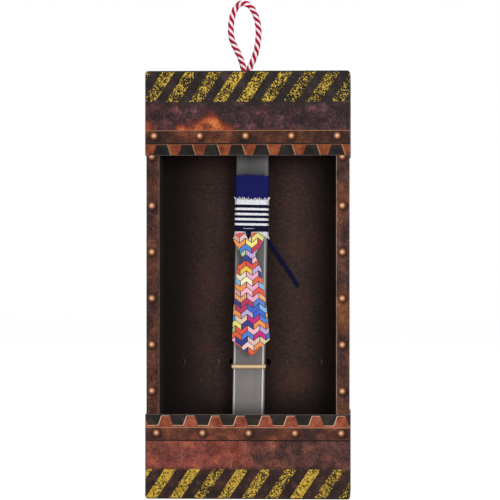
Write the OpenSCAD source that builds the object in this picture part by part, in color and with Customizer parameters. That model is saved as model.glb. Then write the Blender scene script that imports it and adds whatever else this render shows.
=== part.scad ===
// Easter candle in its display carton. A flat wax candle wears a ribbon, a striped cloth
// wrap and a tie-shaped pendant on a lace. An elastic holds it to a raised card inside an
// open-fronted tray, and a slip-on cap closes each end of the tray.
// Frame: +Z up, the open front faces -Y, the origin is the middle of the base.

/* [Carton] */
// Thickness of the carton board
board = 0.6; // [0.4:0.1:1]
// Width of the tray
tray_w = 152.5; // [120:0.5:200]
// Room in the tray above the wick, for lifting the candle
head_room = 9.2; // [9:0.1:40]
// Depth of the tray
tray_d = 39; // [36:1:60]
// Width of each hollow side rim
rim_w = 10; // [6:0.5:16]
// Height of each slip-on cap
cap_h = 63.5; // [40:0.5:90]
// Gap between a cap and the tray on every side
slip = 0.25; // [0.15:0.05:0.4]
// Inner radius where the end of a cap turns into its sides
cap_corner_r = 2.4; // [1:0.2:5]
// Inner radius of a folded edge
fold_r = 0.2; // [0.1:0.1:0.6]

/* [Raised card] */
// Depth of the card behind the front of the rims
recess = 25; // [24:0.5:32]
// Height of the row of punched holes above the base
punch_z = 101.3; // [80:0.1:150]
// Radius of a punched hole
punch_r = 2.3; // [2.2:0.1:3]
// Distance from the middle of the elastic to the middle of its hole
punch_ease = 1.2; // [0.6:0.1:1.2]
// Distance from the inner punched hole to the middle one
punch_step_mid = 12.8; // [8:0.1:18]
// Distance from the middle punched hole to the outer one
punch_step_out = 25.8; // [10:0.1:28]
// Width of the die-cut slit round an unused hole
slit_w = 0.4; // [0.2:0.1:0.8]
// Arc of the slit, the rest being the nick that keeps the disc in
slit_arc = 290; // [180:5:330]

/* [Candle] */
// Width of the candle
candle_w = 23.5; // [16:0.5:34]
// Thickness of the candle
candle_t = 12; // [8:0.5:14]
// Length of the wax
candle_len = 285; // [250:1:290]
// Flat cut along the long edges
candle_chamfer = 2; // [0.5:0.25:3]
// Lean of the candle to the right, in degrees
lean = 1; // [0:0.1:1.5]
// Radius of the wick
wick_r = 1; // [0.6:0.1:1.5]
// Length of wick above the wax
wick_out = 12; // [5:1:14]

/* [Dressing] */
// Height of the plain ribbon's top edge above the base
ribbon_top = 243; // [225:1:270]
// Height of the plain ribbon, part of it under the striped wrap
ribbon_h = 38; // [24:1:50]
// Thickness of the plain ribbon
ribbon_t = 0.3; // [0.2:0.1:0.8]
// Height of the striped wrap's lower edge above the base
wrap_bottom = 197.5; // [180:0.5:215]
// Height of the striped wrap
wrap_h = 27.5; // [20:0.5:40]
// Thickness of the striped wrap
wrap_t = 0.6; // [0.5:0.1:1.4]
// Width of the lace
lace_w = 3.2; // [2:0.1:4]
// Thickness of the lace
lace_t = 0.8; // [0.8:0.1:1.6]
// Height of the lace's lower edge above the wrap's lower edge
lace_rise = 3.3; // [3:0.1:8]

/* [Pendant] */
// Length of the tie from the top of its knot to its point
tie_len = 93; // [70:0.2:100]
// Width of the tie's knot
tie_knot_w = 22.6; // [18:0.2:30]
// Length of the tie's knot
tie_knot_h = 17.2; // [14:0.2:24]
// Width at the waist under the knot
tie_waist_w = 9.6; // [7:0.2:14]
// Width of the blade's shoulders
tie_shoulder_w = 17.6; // [14:0.2:22]
// Drop from the waist to the shoulders
tie_shoulder_drop = 7; // [3:0.2:10]
// Greatest width of the blade
tie_blade_w = 28.3; // [22:0.2:36]
// Height of the blade's pointed end
tie_point_h = 12; // [6:0.2:18]
// Radius of the two round lobes at the top of the knot
tie_lobe_r = 4.5; // [3:0.1:6]
// Width of the notch between the lobes
tie_notch_w = 5.4; // [5:0.1:7]
// Depth of the notch between the lobes
tie_notch_h = 5.5; // [5:0.1:8]
// Radius where the notch rounds over into the lobes
tie_notch_r = 1; // [0.5:0.1:1.5]
// Height of the straight waist
tie_waist_h = 2.4; // [1:0.2:4]
// How much lower the waist sits on the left than at its middle height
tie_waist_skew = 1.3; // [0:0.1:1.4]
// How much higher the left shoulder sits than the shoulders' middle height
tie_shoulder_skew = 1.1; // [0:0.1:1.4]
// How far each side of the blade bows out
tie_bow = 0.6; // [0:0.1:1.5]
// Thickness of the tie's plate
tie_plate_t = 2.2; // [1.5:0.1:3]
// Thickness of the printed face on the plate
tie_face_t = 0.3; // [0.2:0.1:0.6]
// Tilt of the tie, its point to the right, in degrees
tie_tilt = 1.3; // [0:0.1:3]
// Radius of the lace knot that the tie hangs from
lace_knot_r = 2; // [1.6:0.1:2.2]
// Distance of the lace knot to the left of the candle's middle
lace_knot_left = 1.6; // [0:0.1:3]
// Distance of the lace knot's middle below the lace's lower edge
lace_knot_drop = 0.9; // [0:0.1:1.6]
// Length of lace glued behind the tie
lace_drop_h = 12; // [8:0.5:16]

/* [Elastic] */
// Width of the elastic
elastic_w = 3; // [2:0.1:3.2]
// Thickness of the elastic
elastic_t = 0.8; // [0.5:0.1:1.2]
// Slope of the elastic from the card down to the candle's front, in degrees
elastic_droop = 10; // [0:0.5:14]
// Radius of the knot behind the card
elastic_knot_r = 2; // [1.5:0.1:3]

/* [Hanging loop] */
// Diameter of the twisted cord
cord_d = 4.6; // [3:0.1:5]
// Radius of the knot under the cap's end
cord_knot_r = 5.8; // [5:0.1:8]
// Height of the knot under the cap's end
cord_knot_h = 8; // [6:0.5:10]
// Radius that rounds the knot's edges
cord_knot_soft = 2.6; // [1:0.1:3]
// Length of the cord's ends below the knot
cord_end = 5; // [2:0.5:8]

/* [Hidden] */

$fn = 48;
// Clearance between pieces that move past each other
run_gap = 0.35;
// Clearance between pieces that only lie beside each other
lie_gap = 0.15;
// Hair gap under or round a piece that stands or sticks in another
hair_gap = 0.05;
// Overshoot of a cut past the face that it opens
cut = 1;

// Heights: the candle sets the tray's height, with the knot of the loop above its wick
tray_z0 = board;
floor_z = tray_z0 + board;
candle_z0 = floor_z + candle_w / 2 * sin(lean) + hair_gap;
candle_z1 = candle_z0 + candle_len;
tray_z1 = candle_z1 + wick_out + head_room + cord_end + cord_knot_h;
tray_h = tray_z1 - tray_z0;
box_h = tray_z1 + board;

// Depths, from the open front back
front_y = -tray_d / 2;
back_y = tray_d / 2;
card_y = front_y + recess;
window_w = tray_w - 2 * rim_w;
dress_t = ribbon_t + wrap_t + lace_t;
candle_back_y = card_y - dress_t - run_gap;
candle_mid_y = candle_back_y - candle_t / 2;
candle_front_y = candle_back_y - candle_t;

// The candle leans about the height where the elastic holds it
pivot_z = punch_z - (card_y - candle_front_y) * tan(elastic_droop);
function on_axis(x, y, z) = [
    x * cos(lean) + (z - pivot_z) * sin(lean),
    candle_mid_y + y,
    pivot_z + (z - pivot_z) * cos(lean) - x * sin(lean)];

// The lace, its knot and the pendant's hinge point
lace_z0 = wrap_bottom + lace_rise;
wrap_front = -candle_t / 2 - ribbon_t - wrap_t;
lace_knot_y = wrap_front - lace_t - run_gap - lace_knot_r;
hinge = on_axis(-lace_knot_left, lace_knot_y, lace_z0 - lace_knot_drop);
tie_t = tie_plate_t + tie_face_t;

// Punched holes, counted from the middle of the card outwards
elastic_x = candle_w / 2 + run_gap;
punch_inner = elastic_x + elastic_t / 2 + punch_ease;
punch_unused = [punch_inner + punch_step_mid, punch_inner + punch_step_mid + punch_step_out];

// Route of the hanging loop above the candle, as [x, height above the cap's end]
LOOP = [[-3.9, -0.6], [-3.9, 1.6], [-4.7, 5], [-6, 9.4], [-8, 14.4], [-10.4, 19], [-12.6, 24],
    [-13.8, 29.4], [-14, 34.8], [-13.4, 40.2], [-12.2, 45.4], [-9.8, 50.2], [-6.6, 53], [-2.8, 53],
    [0.8, 50.8], [4, 46], [6, 40], [7, 34], [7, 28], [6.4, 22], [5.2, 16], [3.3, 10], [1.4, 5],
    [0.8, 1.6], [0.8, -0.6]];
LOOP_STEPS = 2;
loop_legs = [LOOP[0][0], LOOP[len(LOOP) - 1][0]];
// Route of the lace's free end, as [x, height above the lace's lower edge]
TAIL = [[8.4, -1.2], [9.8, -3], [11.6, -5.4], [14.8, -10], [18.2, -15], [21.6, -20], [25, -25],
    [28.4, -30], [31.8, -35], [36.2, -41.4]];
TAIL_STEPS = 2;

// Smooth curve through a route: n steps between neighbouring points
function spline(a, b, c, d, t) = 0.5 * (2 * b + (c - a) * t + (2 * a - 5 * b + 4 * c - d) * t * t
    + (3 * b - a - 3 * c + d) * t * t * t);
function smooth(p, n) = concat(
    [for (i = [0:len(p) - 2], k = [0:n - 1])
        spline(p[max(i - 1, 0)], p[i], p[i + 1], p[min(i + 2, len(p) - 1)], k / n)],
    [p[len(p) - 1]]);
function heading(p, i) =
    let (d = p[min(i + 1, len(p) - 1)] - p[max(i - 1, 0)]) d / norm(d);

// Cord along a route in an XZ plane, w wide in that plane and t thick across it
module cord(route, w, t, sides) {
    last = len(route) - 1;
    turn = 180 / sides;
    rings = [for (i = [0:last]) let (h = heading(route, i))
        for (k = [0:sides - 1]) let (a = 360 * k / sides + turn)
            [route[i][0] - h[1] * w / 2 * cos(a) / cos(turn),
             t / 2 * sin(a) / cos(turn),
             route[i][1] + h[0] * w / 2 * cos(a) / cos(turn)]];
    walls = [for (i = [0:last - 1], k = [0:sides - 1])
        let (a = i * sides + k, b = i * sides + (k + 1) % sides)
            each [[a, b, b + sides], [a, b + sides, a + sides]]];
    ends = [for (k = [1:sides - 2])
        each [[0, k + 1, k], [last * sides, last * sides + k, last * sides + k + 1]]];
    polyhedron(points = rings, faces = concat(walls, ends));
}

// Rectangle with round corners, centred on the origin
module round_rect(w, h, r) {
    square([w - 2 * r, h], center = true);
    square([w, h - 2 * r], center = true);
    for (x = [-1, 1], y = [-1, 1])
        translate([x * (w / 2 - r), y * (h / 2 - r)]) circle(r);
}

// Rectangle with 45 degree cut corners, centred on the origin
module cut_rect(w, h, c) {
    polygon([[-w / 2, c - h / 2], [c - w / 2, -h / 2], [w / 2 - c, -h / 2], [w / 2, c - h / 2],
        [w / 2, h / 2 - c], [w / 2 - c, h / 2], [c - w / 2, h / 2], [-w / 2, h / 2 - c]]);
}

// The candle's outline grown by t, its corner cuts growing with it
module candle_outline(t) {
    cut_rect(candle_w + 2 * t, candle_t + 2 * t, candle_chamfer + t * (2 - sqrt(2)));
}

// Sleeve of cloth or lace round the candle, from inside to outside that far off the wax
module sleeve(inside, outside, z0, h) {
    translate([0, 0, z0]) linear_extrude(h) difference() {
        candle_outline(outside);
        candle_outline(inside);
    }
}

// Places what belongs to the candle, whose own z counts from the base
module on_candle() {
    translate([0, candle_mid_y, pivot_z]) rotate([0, lean, 0]) translate([0, 0, -pivot_z]) children();
}

// Places what hangs from the lace knot, the hinge point being its origin
module on_pendant() {
    translate(hinge) rotate([0, -tie_tilt, 0]) children();
}

// Block from the base up to h with folded edges of radius r and end corners of radius end_r
module folded_block(w, d, h, r, end_r) {
    intersection() {
        linear_extrude(h) round_rect(w, d, r);
        translate([0, d / 2, h / 2]) rotate([90, 0, 0]) linear_extrude(d) round_rect(w, h, end_r);
        translate([-w / 2, 0, h / 2]) rotate([90, 0, 90]) linear_extrude(w) round_rect(d, h, r);
    }
}

// Five-sided cap that stands on its closed end
module cap_shell() {
    in_w = tray_w + 2 * slip;
    in_d = tray_d + 2 * slip;
    difference() {
        folded_block(in_w + 2 * board, in_d + 2 * board, 2 * cap_h, fold_r + board, cap_corner_r + board);
        translate([0, 0, board]) folded_block(in_w, in_d, 2 * cap_h, fold_r, cap_corner_r);
        translate([-in_w, -in_d, cap_h]) cube([2 * in_w, 2 * in_d, 2 * cap_h]);
    }
}

// Silhouette of the tray, whose corners clear the round corners inside the caps
module tray_silhouette() {
    translate([0, tray_d, (tray_z0 + tray_z1) / 2]) rotate([90, 0, 0])
        linear_extrude(2 * tray_d) round_rect(tray_w, tray_h, cap_corner_r);
}

module bottom_cap() {
    color("saddlebrown") cap_shell();
}

module top_cap() {
    hole_r = cord_d / 2 + lie_gap;
    color("saddlebrown") difference() {
        translate([0, 0, box_h]) mirror([0, 0, 1]) cap_shell();
        translate([0, candle_mid_y, tray_z1 - cut]) linear_extrude(board + 2 * cut) {
            for (x = loop_legs) translate([x, 0]) circle(hole_r);
            translate([loop_legs[0], -hole_r]) square([loop_legs[1] - loop_legs[0], 2 * hole_r]);
        }
    }
}

// Back panel with the floor flap that the candle stands on
module tray_back() {
    color("sienna") intersection() {
        union() {
            translate([-tray_w / 2, back_y - board, tray_z0]) cube([tray_w, board, tray_h]);
            translate([-window_w / 2, front_y + board, tray_z0])
                cube([window_w, tray_d - board, board]);
        }
        tray_silhouette();
    }
}

// Hollow rim folded from board, glued to the back panel along its open-fronted side
module side_rim() {
    depth = tray_d - board;
    translate([(window_w + rim_w) / 2, -board / 2, tray_z0]) linear_extrude(tray_h) difference() {
        round_rect(rim_w, depth, fold_r + board);
        round_rect(rim_w - 2 * board, depth - 2 * board, fold_r);
    }
}

module right_rim() {
    color("peru") intersection() {
        side_rim();
        tray_silhouette();
    }
}

module left_rim() {
    color("peru") mirror([1, 0, 0]) intersection() {
        side_rim();
        tray_silhouette();
    }
}

// Slit round a disc that is still held in the card
module punch_slit() {
    rotate([90, 0, 0]) rotate([0, 0, -slit_arc / 2]) rotate_extrude(angle = slit_arc)
        translate([punch_r - slit_w, -cut - board]) square([slit_w, board + 2 * cut]);
}

// Card with folded legs that stands between the rims and on the floor flap
module raised_card() {
    w = window_w - 2 * lie_gap;
    leg = back_y - board - card_y;
    color("#2a1a14") difference() {
        translate([-w / 2, card_y, floor_z]) cube([w, leg, tray_z1 - floor_z]);
        translate([-w / 2 + board, card_y + board, floor_z - cut])
            cube([w - 2 * board, leg, tray_z1 - floor_z + 2 * cut]);
        for (side = [-1, 1]) {
            translate([side * punch_inner, card_y - cut, punch_z]) rotate([-90, 0, 0])
                cylinder(h = board + 2 * cut, r = punch_r);
            for (x = punch_unused) translate([side * x, card_y, punch_z]) punch_slit();
        }
    }
}

// Elastic through the inner pair of holes, knotted behind the card
module elastic_band() {
    tilt_room = elastic_w / 2 * tan(elastic_droop);
    ahead = (card_y - candle_front_y) / cos(elastic_droop) + tilt_room + run_gap;
    behind = board / cos(elastic_droop) + tilt_room + lie_gap;
    inner_w = 2 * elastic_x;
    inner_d = ahead + behind;
    color("burlywood") translate([0, card_y, punch_z]) rotate([elastic_droop, 0, 0]) {
        translate([0, (behind - ahead) / 2, -elastic_w / 2]) linear_extrude(elastic_w) difference() {
            round_rect(inner_w + 2 * elastic_t, inner_d + 2 * elastic_t, elastic_t + run_gap);
            round_rect(inner_w, inner_d, run_gap);
        }
        translate([0, behind + elastic_knot_r, 0]) sphere(elastic_knot_r);
    }
}

module hang_loop() {
    route = smooth([for (p = LOOP) [p[0], box_h + p[1]]], LOOP_STEPS);
    color("crimson") translate([0, candle_mid_y, 0]) cord(route, cord_d, cord_d, 10);
}

// Overhand knot that bears on the underside of the cap's end, with its two cut ends
module loop_knot() {
    waist = cord_knot_r - cord_knot_soft;
    mid_x = (loop_legs[0] + loop_legs[1]) / 2;
    color("firebrick") translate([mid_x, candle_mid_y, tray_z1 - cord_knot_h]) {
        rotate_extrude() intersection() {
            union() {
                square([waist, cord_knot_h]);
                translate([0, cord_knot_soft]) square([cord_knot_r, cord_knot_h - 2 * cord_knot_soft]);
                for (z = [cord_knot_soft, cord_knot_h - cord_knot_soft])
                    translate([waist, z]) circle(cord_knot_soft);
            }
            square([cord_knot_r, cord_knot_h]);
        }
        for (side = [-1, 1]) translate([side * (cord_d / 2 + lie_gap), 0, -cord_end])
            cylinder(h = cord_end + cord_knot_soft, d = cord_d);
    }
}

module candle_wax() {
    color("dimgray") on_candle() difference() {
        translate([0, 0, candle_z0]) linear_extrude(candle_len) candle_outline(0);
        translate([0, 0, candle_z0 - cut]) cylinder(h = candle_len + 2 * cut, r = wick_r + hair_gap);
    }
}

module wick() {
    color("ivory") on_candle() translate([0, 0, candle_z0])
        cylinder(h = candle_len + wick_out, r = wick_r);
}

module ribbon_band() {
    color("navy") on_candle() sleeve(0, ribbon_t, ribbon_top - ribbon_h, ribbon_h);
}

module striped_wrap() {
    color("white") on_candle() sleeve(ribbon_t, ribbon_t + wrap_t, wrap_bottom, wrap_h);
}

// One turn of lace, its two ends meeting under the knot
module lace_wrap() {
    inside = ribbon_t + wrap_t;
    color("midnightblue") on_candle() difference() {
        sleeve(inside, dress_t, lace_z0, lace_w);
        translate([-lace_knot_left - run_gap, -candle_t, lace_z0 - cut])
            cube([2 * run_gap, candle_t / 2, lace_w + 2 * cut]);
    }
}

// Free end of the lace, lying flat between the wrap and the card
module lace_tail() {
    back = candle_t / 2 + dress_t - lace_t / 2 + lie_gap;
    route = smooth([for (p = TAIL) [p[0], lace_z0 + p[1]]], TAIL_STEPS);
    color("midnightblue") on_candle() translate([0, back, 0])
        cord(route, lace_w, lace_t, 8);
}

module lace_knot() {
    color("midnightblue") on_pendant() rotate([90, 0, 0]) sphere(lace_knot_r);
}

// Lace glued behind the tie, from just under the knot
module lace_drop() {
    color("midnightblue") on_pendant()
        translate([-lace_w / 2, tie_t / 2, -lace_knot_r - lace_drop_h])
            cube([lace_w, lace_t, lace_drop_h]);
}

// Half of the tie's outline: notch, lobe, waist, shoulder and bowed blade, down to the point.
// The tie is hand-cut, so its right side (1) and its left side (-1) differ by the two skews.
BOW_STEPS = 6;
function arc(x, y, r, a0, a1, n) =
    [for (k = [0:n]) let (a = a0 + (a1 - a0) * k / n) [x + r * cos(a), y + r * sin(a)]];
function blend(a, b, t) = a * (1 - t) + b * t;
function tie_half(side) =
    let (waist_z = side * tie_waist_skew - tie_knot_h,
        shoulder_z = -tie_knot_h - tie_waist_h - tie_shoulder_drop - side * tie_shoulder_skew)
    concat(
        [[0, -tie_notch_h]],
        arc(tie_notch_w / 2 + tie_notch_r, -tie_notch_r, tie_notch_r, 150, 90, 4),
        arc(tie_knot_w / 2 - tie_lobe_r, -tie_lobe_r, tie_lobe_r, 90, -28, 12),
        [[tie_waist_w / 2, waist_z], [tie_waist_w / 2, waist_z - tie_waist_h]],
        [for (k = [0:BOW_STEPS]) let (t = k / BOW_STEPS)
            [blend(tie_shoulder_w, tie_blade_w, t) / 2 + 4 * tie_bow * t * (1 - t),
             blend(shoulder_z, tie_point_h - tie_len, t)]],
        [[0, -tie_len]]);

// The left half follows the right one, from the point back up to the notch
module tie_outline() {
    left = tie_half(-1);
    polygon(concat(tie_half(1), [for (k = [len(left) - 2:-1:1]) [-left[k][0], left[k][1]]]));
}

// Layer of the tie from y to y + t in the pendant's frame
module tie_layer(y, t) {
    on_pendant() translate([0, y + t, 0]) rotate([90, 0, 0]) linear_extrude(t) tie_outline();
}

module tie_plate() {
    color("whitesmoke") tie_layer(tie_face_t - tie_t / 2, tie_plate_t);
}

module tie_face() {
    color("coral") tie_layer(-tie_t / 2, tie_face_t);
}

bottom_cap();
tray_back();
left_rim();
right_rim();
raised_card();
elastic_band();
top_cap();
hang_loop();
loop_knot();
candle_wax();
wick();
ribbon_band();
striped_wrap();
lace_wrap();
lace_tail();
lace_knot();
lace_drop();
tie_plate();
tie_face();
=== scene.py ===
"""Easter candle in its display carton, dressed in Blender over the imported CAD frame.

A flat grey candle wears a ribbon, a striped cloth wrap and a tie-shaped pendant on a lace. An elastic
holds it to a card inside an open-fronted tray, a slip-on cap closes each end, and a twisted cord
loop hangs the lot. Sizes are millimetres; a piece is scaled to metres when it is put in place.
"""

import logging
import math
import random
from collections.abc import Callable, Sequence
from dataclasses import dataclass, field
from enum import Enum
from functools import cache, partial

import bmesh
import bpy
from mathutils import Euler, Matrix, Vector, noise


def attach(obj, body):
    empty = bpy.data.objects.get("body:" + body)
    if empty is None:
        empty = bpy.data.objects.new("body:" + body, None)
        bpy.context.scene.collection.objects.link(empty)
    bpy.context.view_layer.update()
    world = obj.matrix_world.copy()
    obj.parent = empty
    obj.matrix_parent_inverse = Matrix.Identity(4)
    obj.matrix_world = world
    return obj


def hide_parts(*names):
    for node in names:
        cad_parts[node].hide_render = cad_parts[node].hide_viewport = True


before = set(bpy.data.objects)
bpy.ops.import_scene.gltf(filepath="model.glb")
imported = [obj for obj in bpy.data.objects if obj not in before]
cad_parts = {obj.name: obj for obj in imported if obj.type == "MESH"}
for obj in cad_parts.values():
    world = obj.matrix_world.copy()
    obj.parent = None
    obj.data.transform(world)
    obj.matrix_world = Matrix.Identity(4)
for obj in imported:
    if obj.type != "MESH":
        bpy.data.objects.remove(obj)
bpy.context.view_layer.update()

LOG = logging.getLogger("easter_candle")
MM = 0.001

# How squarely a face has to look along an axis to count as facing it
SQUARE_ON = 0.7
# Past this turn in radians an edge is a rim, which is rounded off
RIM_TURN = 1.2
# Past this turn in degrees an edge of a round strand stays sharp
STRAND_SHARP = 70.0
# A cut corner grows by this share of the distance that its outline moves out
CUT_GROWTH = 0.59

# The candle leans about the elastic's height, and the pendant turns about its lace knot
CANDLE_PIVOT = Vector((0.0, -2.55, 98.8226))
CANDLE_LEAN = math.radians(1.0)
PENDANT_HINGE = Vector((0.16427, -12.6, 199.9125))
PENDANT_TILT = math.radians(-1.3)

Socket = bpy.types.NodeSocket
NodeMaker = Callable[..., Socket]
Look = dict[str, object]
Layer = tuple[Socket, Socket | str]
Ramp = tuple[tuple[float, str], ...]
Pair = tuple[float, float]
Triple = tuple[float, float, float]
Line = Sequence[Vector]


def linear(code: str) -> tuple[float, float, float, float]:
    """Turns an sRGB hex colour into linear light.

    Args:
        code: Six hex digits, red, green and blue.

    Returns:
        Linear red, green, blue and full alpha.
    """
    parts = (int(code[i : i + 2], 16) / 255 for i in (0, 2, 4))
    return (*(c / 12.92 if c <= 0.04045 else ((c + 0.055) / 1.055) ** 2.4 for c in parts), 1.0)


def add_node(
    tree: bpy.types.NodeTree,
    kind: str,
    *inputs: object,
    out: str | int = 0,
    stops: Ramp = (),
    **settings: object,
) -> Socket | None:
    """Adds one shader node with its settings and links.

    Args:
        tree: The node tree that takes the node.
        kind: The node's type without its ShaderNode prefix.
        *inputs: Sockets to link, and values or hex colours to set, in the inputs' order or by name
            in a dict.
        out: The output that is handed back, by name or number.
        stops: Places and hex colours of a colour ramp.
        **settings: The node's own settings.

    Returns:
        The chosen output, or None for a node without outputs.
    """
    node = tree.nodes.new("ShaderNode" + kind)
    for name, value in settings.items():
        setattr(node, name, value)
    for index, given in enumerate(inputs):
        for key, value in (given if isinstance(given, dict) else {index: given}).items():
            if isinstance(value, bpy.types.NodeSocket):
                tree.links.new(value, node.inputs[key])
            else:
                node.inputs[key].default_value = linear(value) if isinstance(value, str) else value
    for index, (spot, code) in enumerate(stops):
        ramp = node.color_ramp.elements
        stop = ramp[index] if index < len(ramp) else ramp.new(spot)
        stop.position = spot
        stop.color = linear(code)
    return node.outputs[out] if node.outputs else None


def stack(n: NodeMaker, colour: Socket, layers: Sequence[Layer]) -> Socket:
    """Prints layers over a ground colour.

    Args:
        n: Adds a node to the material's tree.
        colour: The ground.
        layers: Each layer's mask and tone, from the lowest up.

    Returns:
        The finished colour.
    """
    for mask, tone in layers:
        colour = n("Mix", mask, {6: colour, 7: tone}, out=2, data_type="RGBA")
    return colour


# Finishes


@dataclass(frozen=True)
class Finish:
    """A material: its name, its shine, and the pattern that a subclass draws."""

    name: str
    roughness: float = 0.6
    specular: float = 0.5
    sheen: float = 0.0

    def look(self, n: NodeMaker) -> Look:
        """Draws the pattern.

        Args:
            n: Adds a node to the material's tree.

        Returns:
            Sockets of the shader by name, and the relief in millimetres as Height.
        """
        raise NotImplementedError

    @cache
    def make(self) -> bpy.types.Material:
        """Builds the material once.

        Returns:
            The material with its node tree.
        """
        material = bpy.data.materials.new(self.name)
        material.use_nodes = True
        material.node_tree.nodes.clear()
        n = partial(add_node, material.node_tree)
        look = {
            "Roughness": self.roughness,
            "Specular IOR Level": self.specular,
            "Sheen Weight": self.sheen,
            **self.look(n),
        }
        relief = look.pop("Height", None)
        if relief is not None:
            look["Normal"] = n("Bump", {"Height": relief, "Strength": 1.0, "Distance": MM})
        n("OutputMaterial", {"Surface": n("BsdfPrincipled", look)})
        return material


class Ground:
    """The places and noises that the layers of a printed board share, in millimetres."""

    # A print's own grain is finer than 0.2 mm, and the grit is drawn this coarse so that it shows
    GRIT = 1.05
    # Size of the large patches in which one tone drifts into another
    PATCH = 34.0
    # The levels of the patches' noise between which the tones change over
    CHANGE = (0.42, 0.58)

    def __init__(
        self, n: NodeMaker, grain: Triple = (9.0, 9.0, 9.0), drift: Triple = (0.0, 0.0, 0.0)
    ) -> None:
        """Adds the shared nodes.

        Args:
            n: Adds a node to the material's tree.
            grain: Size of the grime along each axis.
            drift: How far the large patches are moved from where the noise has them.
        """
        self.spot = n("Mapping", n("TexCoord", out="Object"), {"Scale": (1 / MM,) * 3})
        self.x, self.y, self.z = n("SeparateXYZ", self.spot).node.outputs
        self.facing = n("SeparateXYZ", n("TexCoord", out="Normal")).node.outputs
        self.grit = n("TexNoise", self.spot, {"Scale": 1 / self.GRIT, "Detail": 4.0, "Roughness": 0.78})
        drawn = n("Mapping", self.spot, {"Scale": tuple(1 / g for g in grain)})
        self.grime = n("TexNoise", drawn, {"Scale": 1.0, "Detail": 9.0, "Roughness": 0.8})
        moved = n("VectorMath", self.spot, drift, operation="SUBTRACT")
        self.patch = n("TexNoise", moved, {"Scale": 1 / self.PATCH, "Detail": 2.0})

    def rust(self, n: NodeMaker, cool: Ramp, warm: Ramp, tilt: float = 0.0) -> Socket:
        """Drifts from one rusty tone to another in large patches.

        Args:
            n: Adds a node to the material's tree.
            cool: Tones of the first by the grime.
            warm: Tones of the second by the grime.
            tilt: How fast the second gains on the first towards the right.

        Returns:
            The mottled colour.
        """
        drift = n("Math", self.x, tilt, self.patch, operation="MULTIPLY_ADD")
        second = n("MapRange", drift, *self.CHANGE)
        first = n("ValToRGB", self.grime, stops=cool)
        return stack(n, first, [(second, n("ValToRGB", self.grime, stops=warm))])


@dataclass(frozen=True)
class Rivet:
    """A printed rivet head: a domed gleam in a dark ring, with a shadow under it."""

    radius: float = 3.2
    gleam: Pair = (-0.25, 0.1)
    dome: float = 1.1
    tones: Ramp = ((0.0, "f4d2b0"), (0.28, "d29c72"), (0.52, "8c593d"), (0.76, "4f2d1f"), (1.0, "241410"))
    shadow: Pair = (0.5, -0.7)
    shadow_reach: Pair = (0.85, 1.5)
    shadow_depth: float = 0.8
    shadow_tone: str = "130c0a"

    def layers(self, n: NodeMaker, across: Socket, along: Socket, up: float) -> list[Layer]:
        """Draws the head and its shadow.

        Args:
            n: Adds a node to the material's tree.
            across: Distance from the head's middle across the strip.
            along: Distance from the head's middle up the strip.
            up: 1, or -1 on a print that stands on its head.

        Returns:
            The layers, the shadow first.
        """
        spot = n("CombineXYZ", across, along)
        away = n("VectorMath", spot, out=1, operation="LENGTH")
        head = n("Math", away, self.radius, operation="LESS_THAN")
        x, y = self.gleam
        gleam = n("VectorMath", spot, (x, y * up, 0.0), out=1, operation="DISTANCE")
        dome = n("ValToRGB", n("MapRange", gleam, 0.0, self.radius * self.dome), stops=self.tones)
        x, y = self.shadow
        under = n("VectorMath", spot, (x, y * up, 0.0), out=1, operation="DISTANCE")
        near, far = (self.radius * share for share in self.shadow_reach)
        shade = n("MapRange", under, near, far, self.shadow_depth, 0.0)
        return [(shade, self.shadow_tone), (head, dome)]


class CapEnd(Enum):
    """Which end of the carton a cap closes, as the way its closed end faces."""

    TOP = 1.0
    BOTTOM = -1.0


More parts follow.
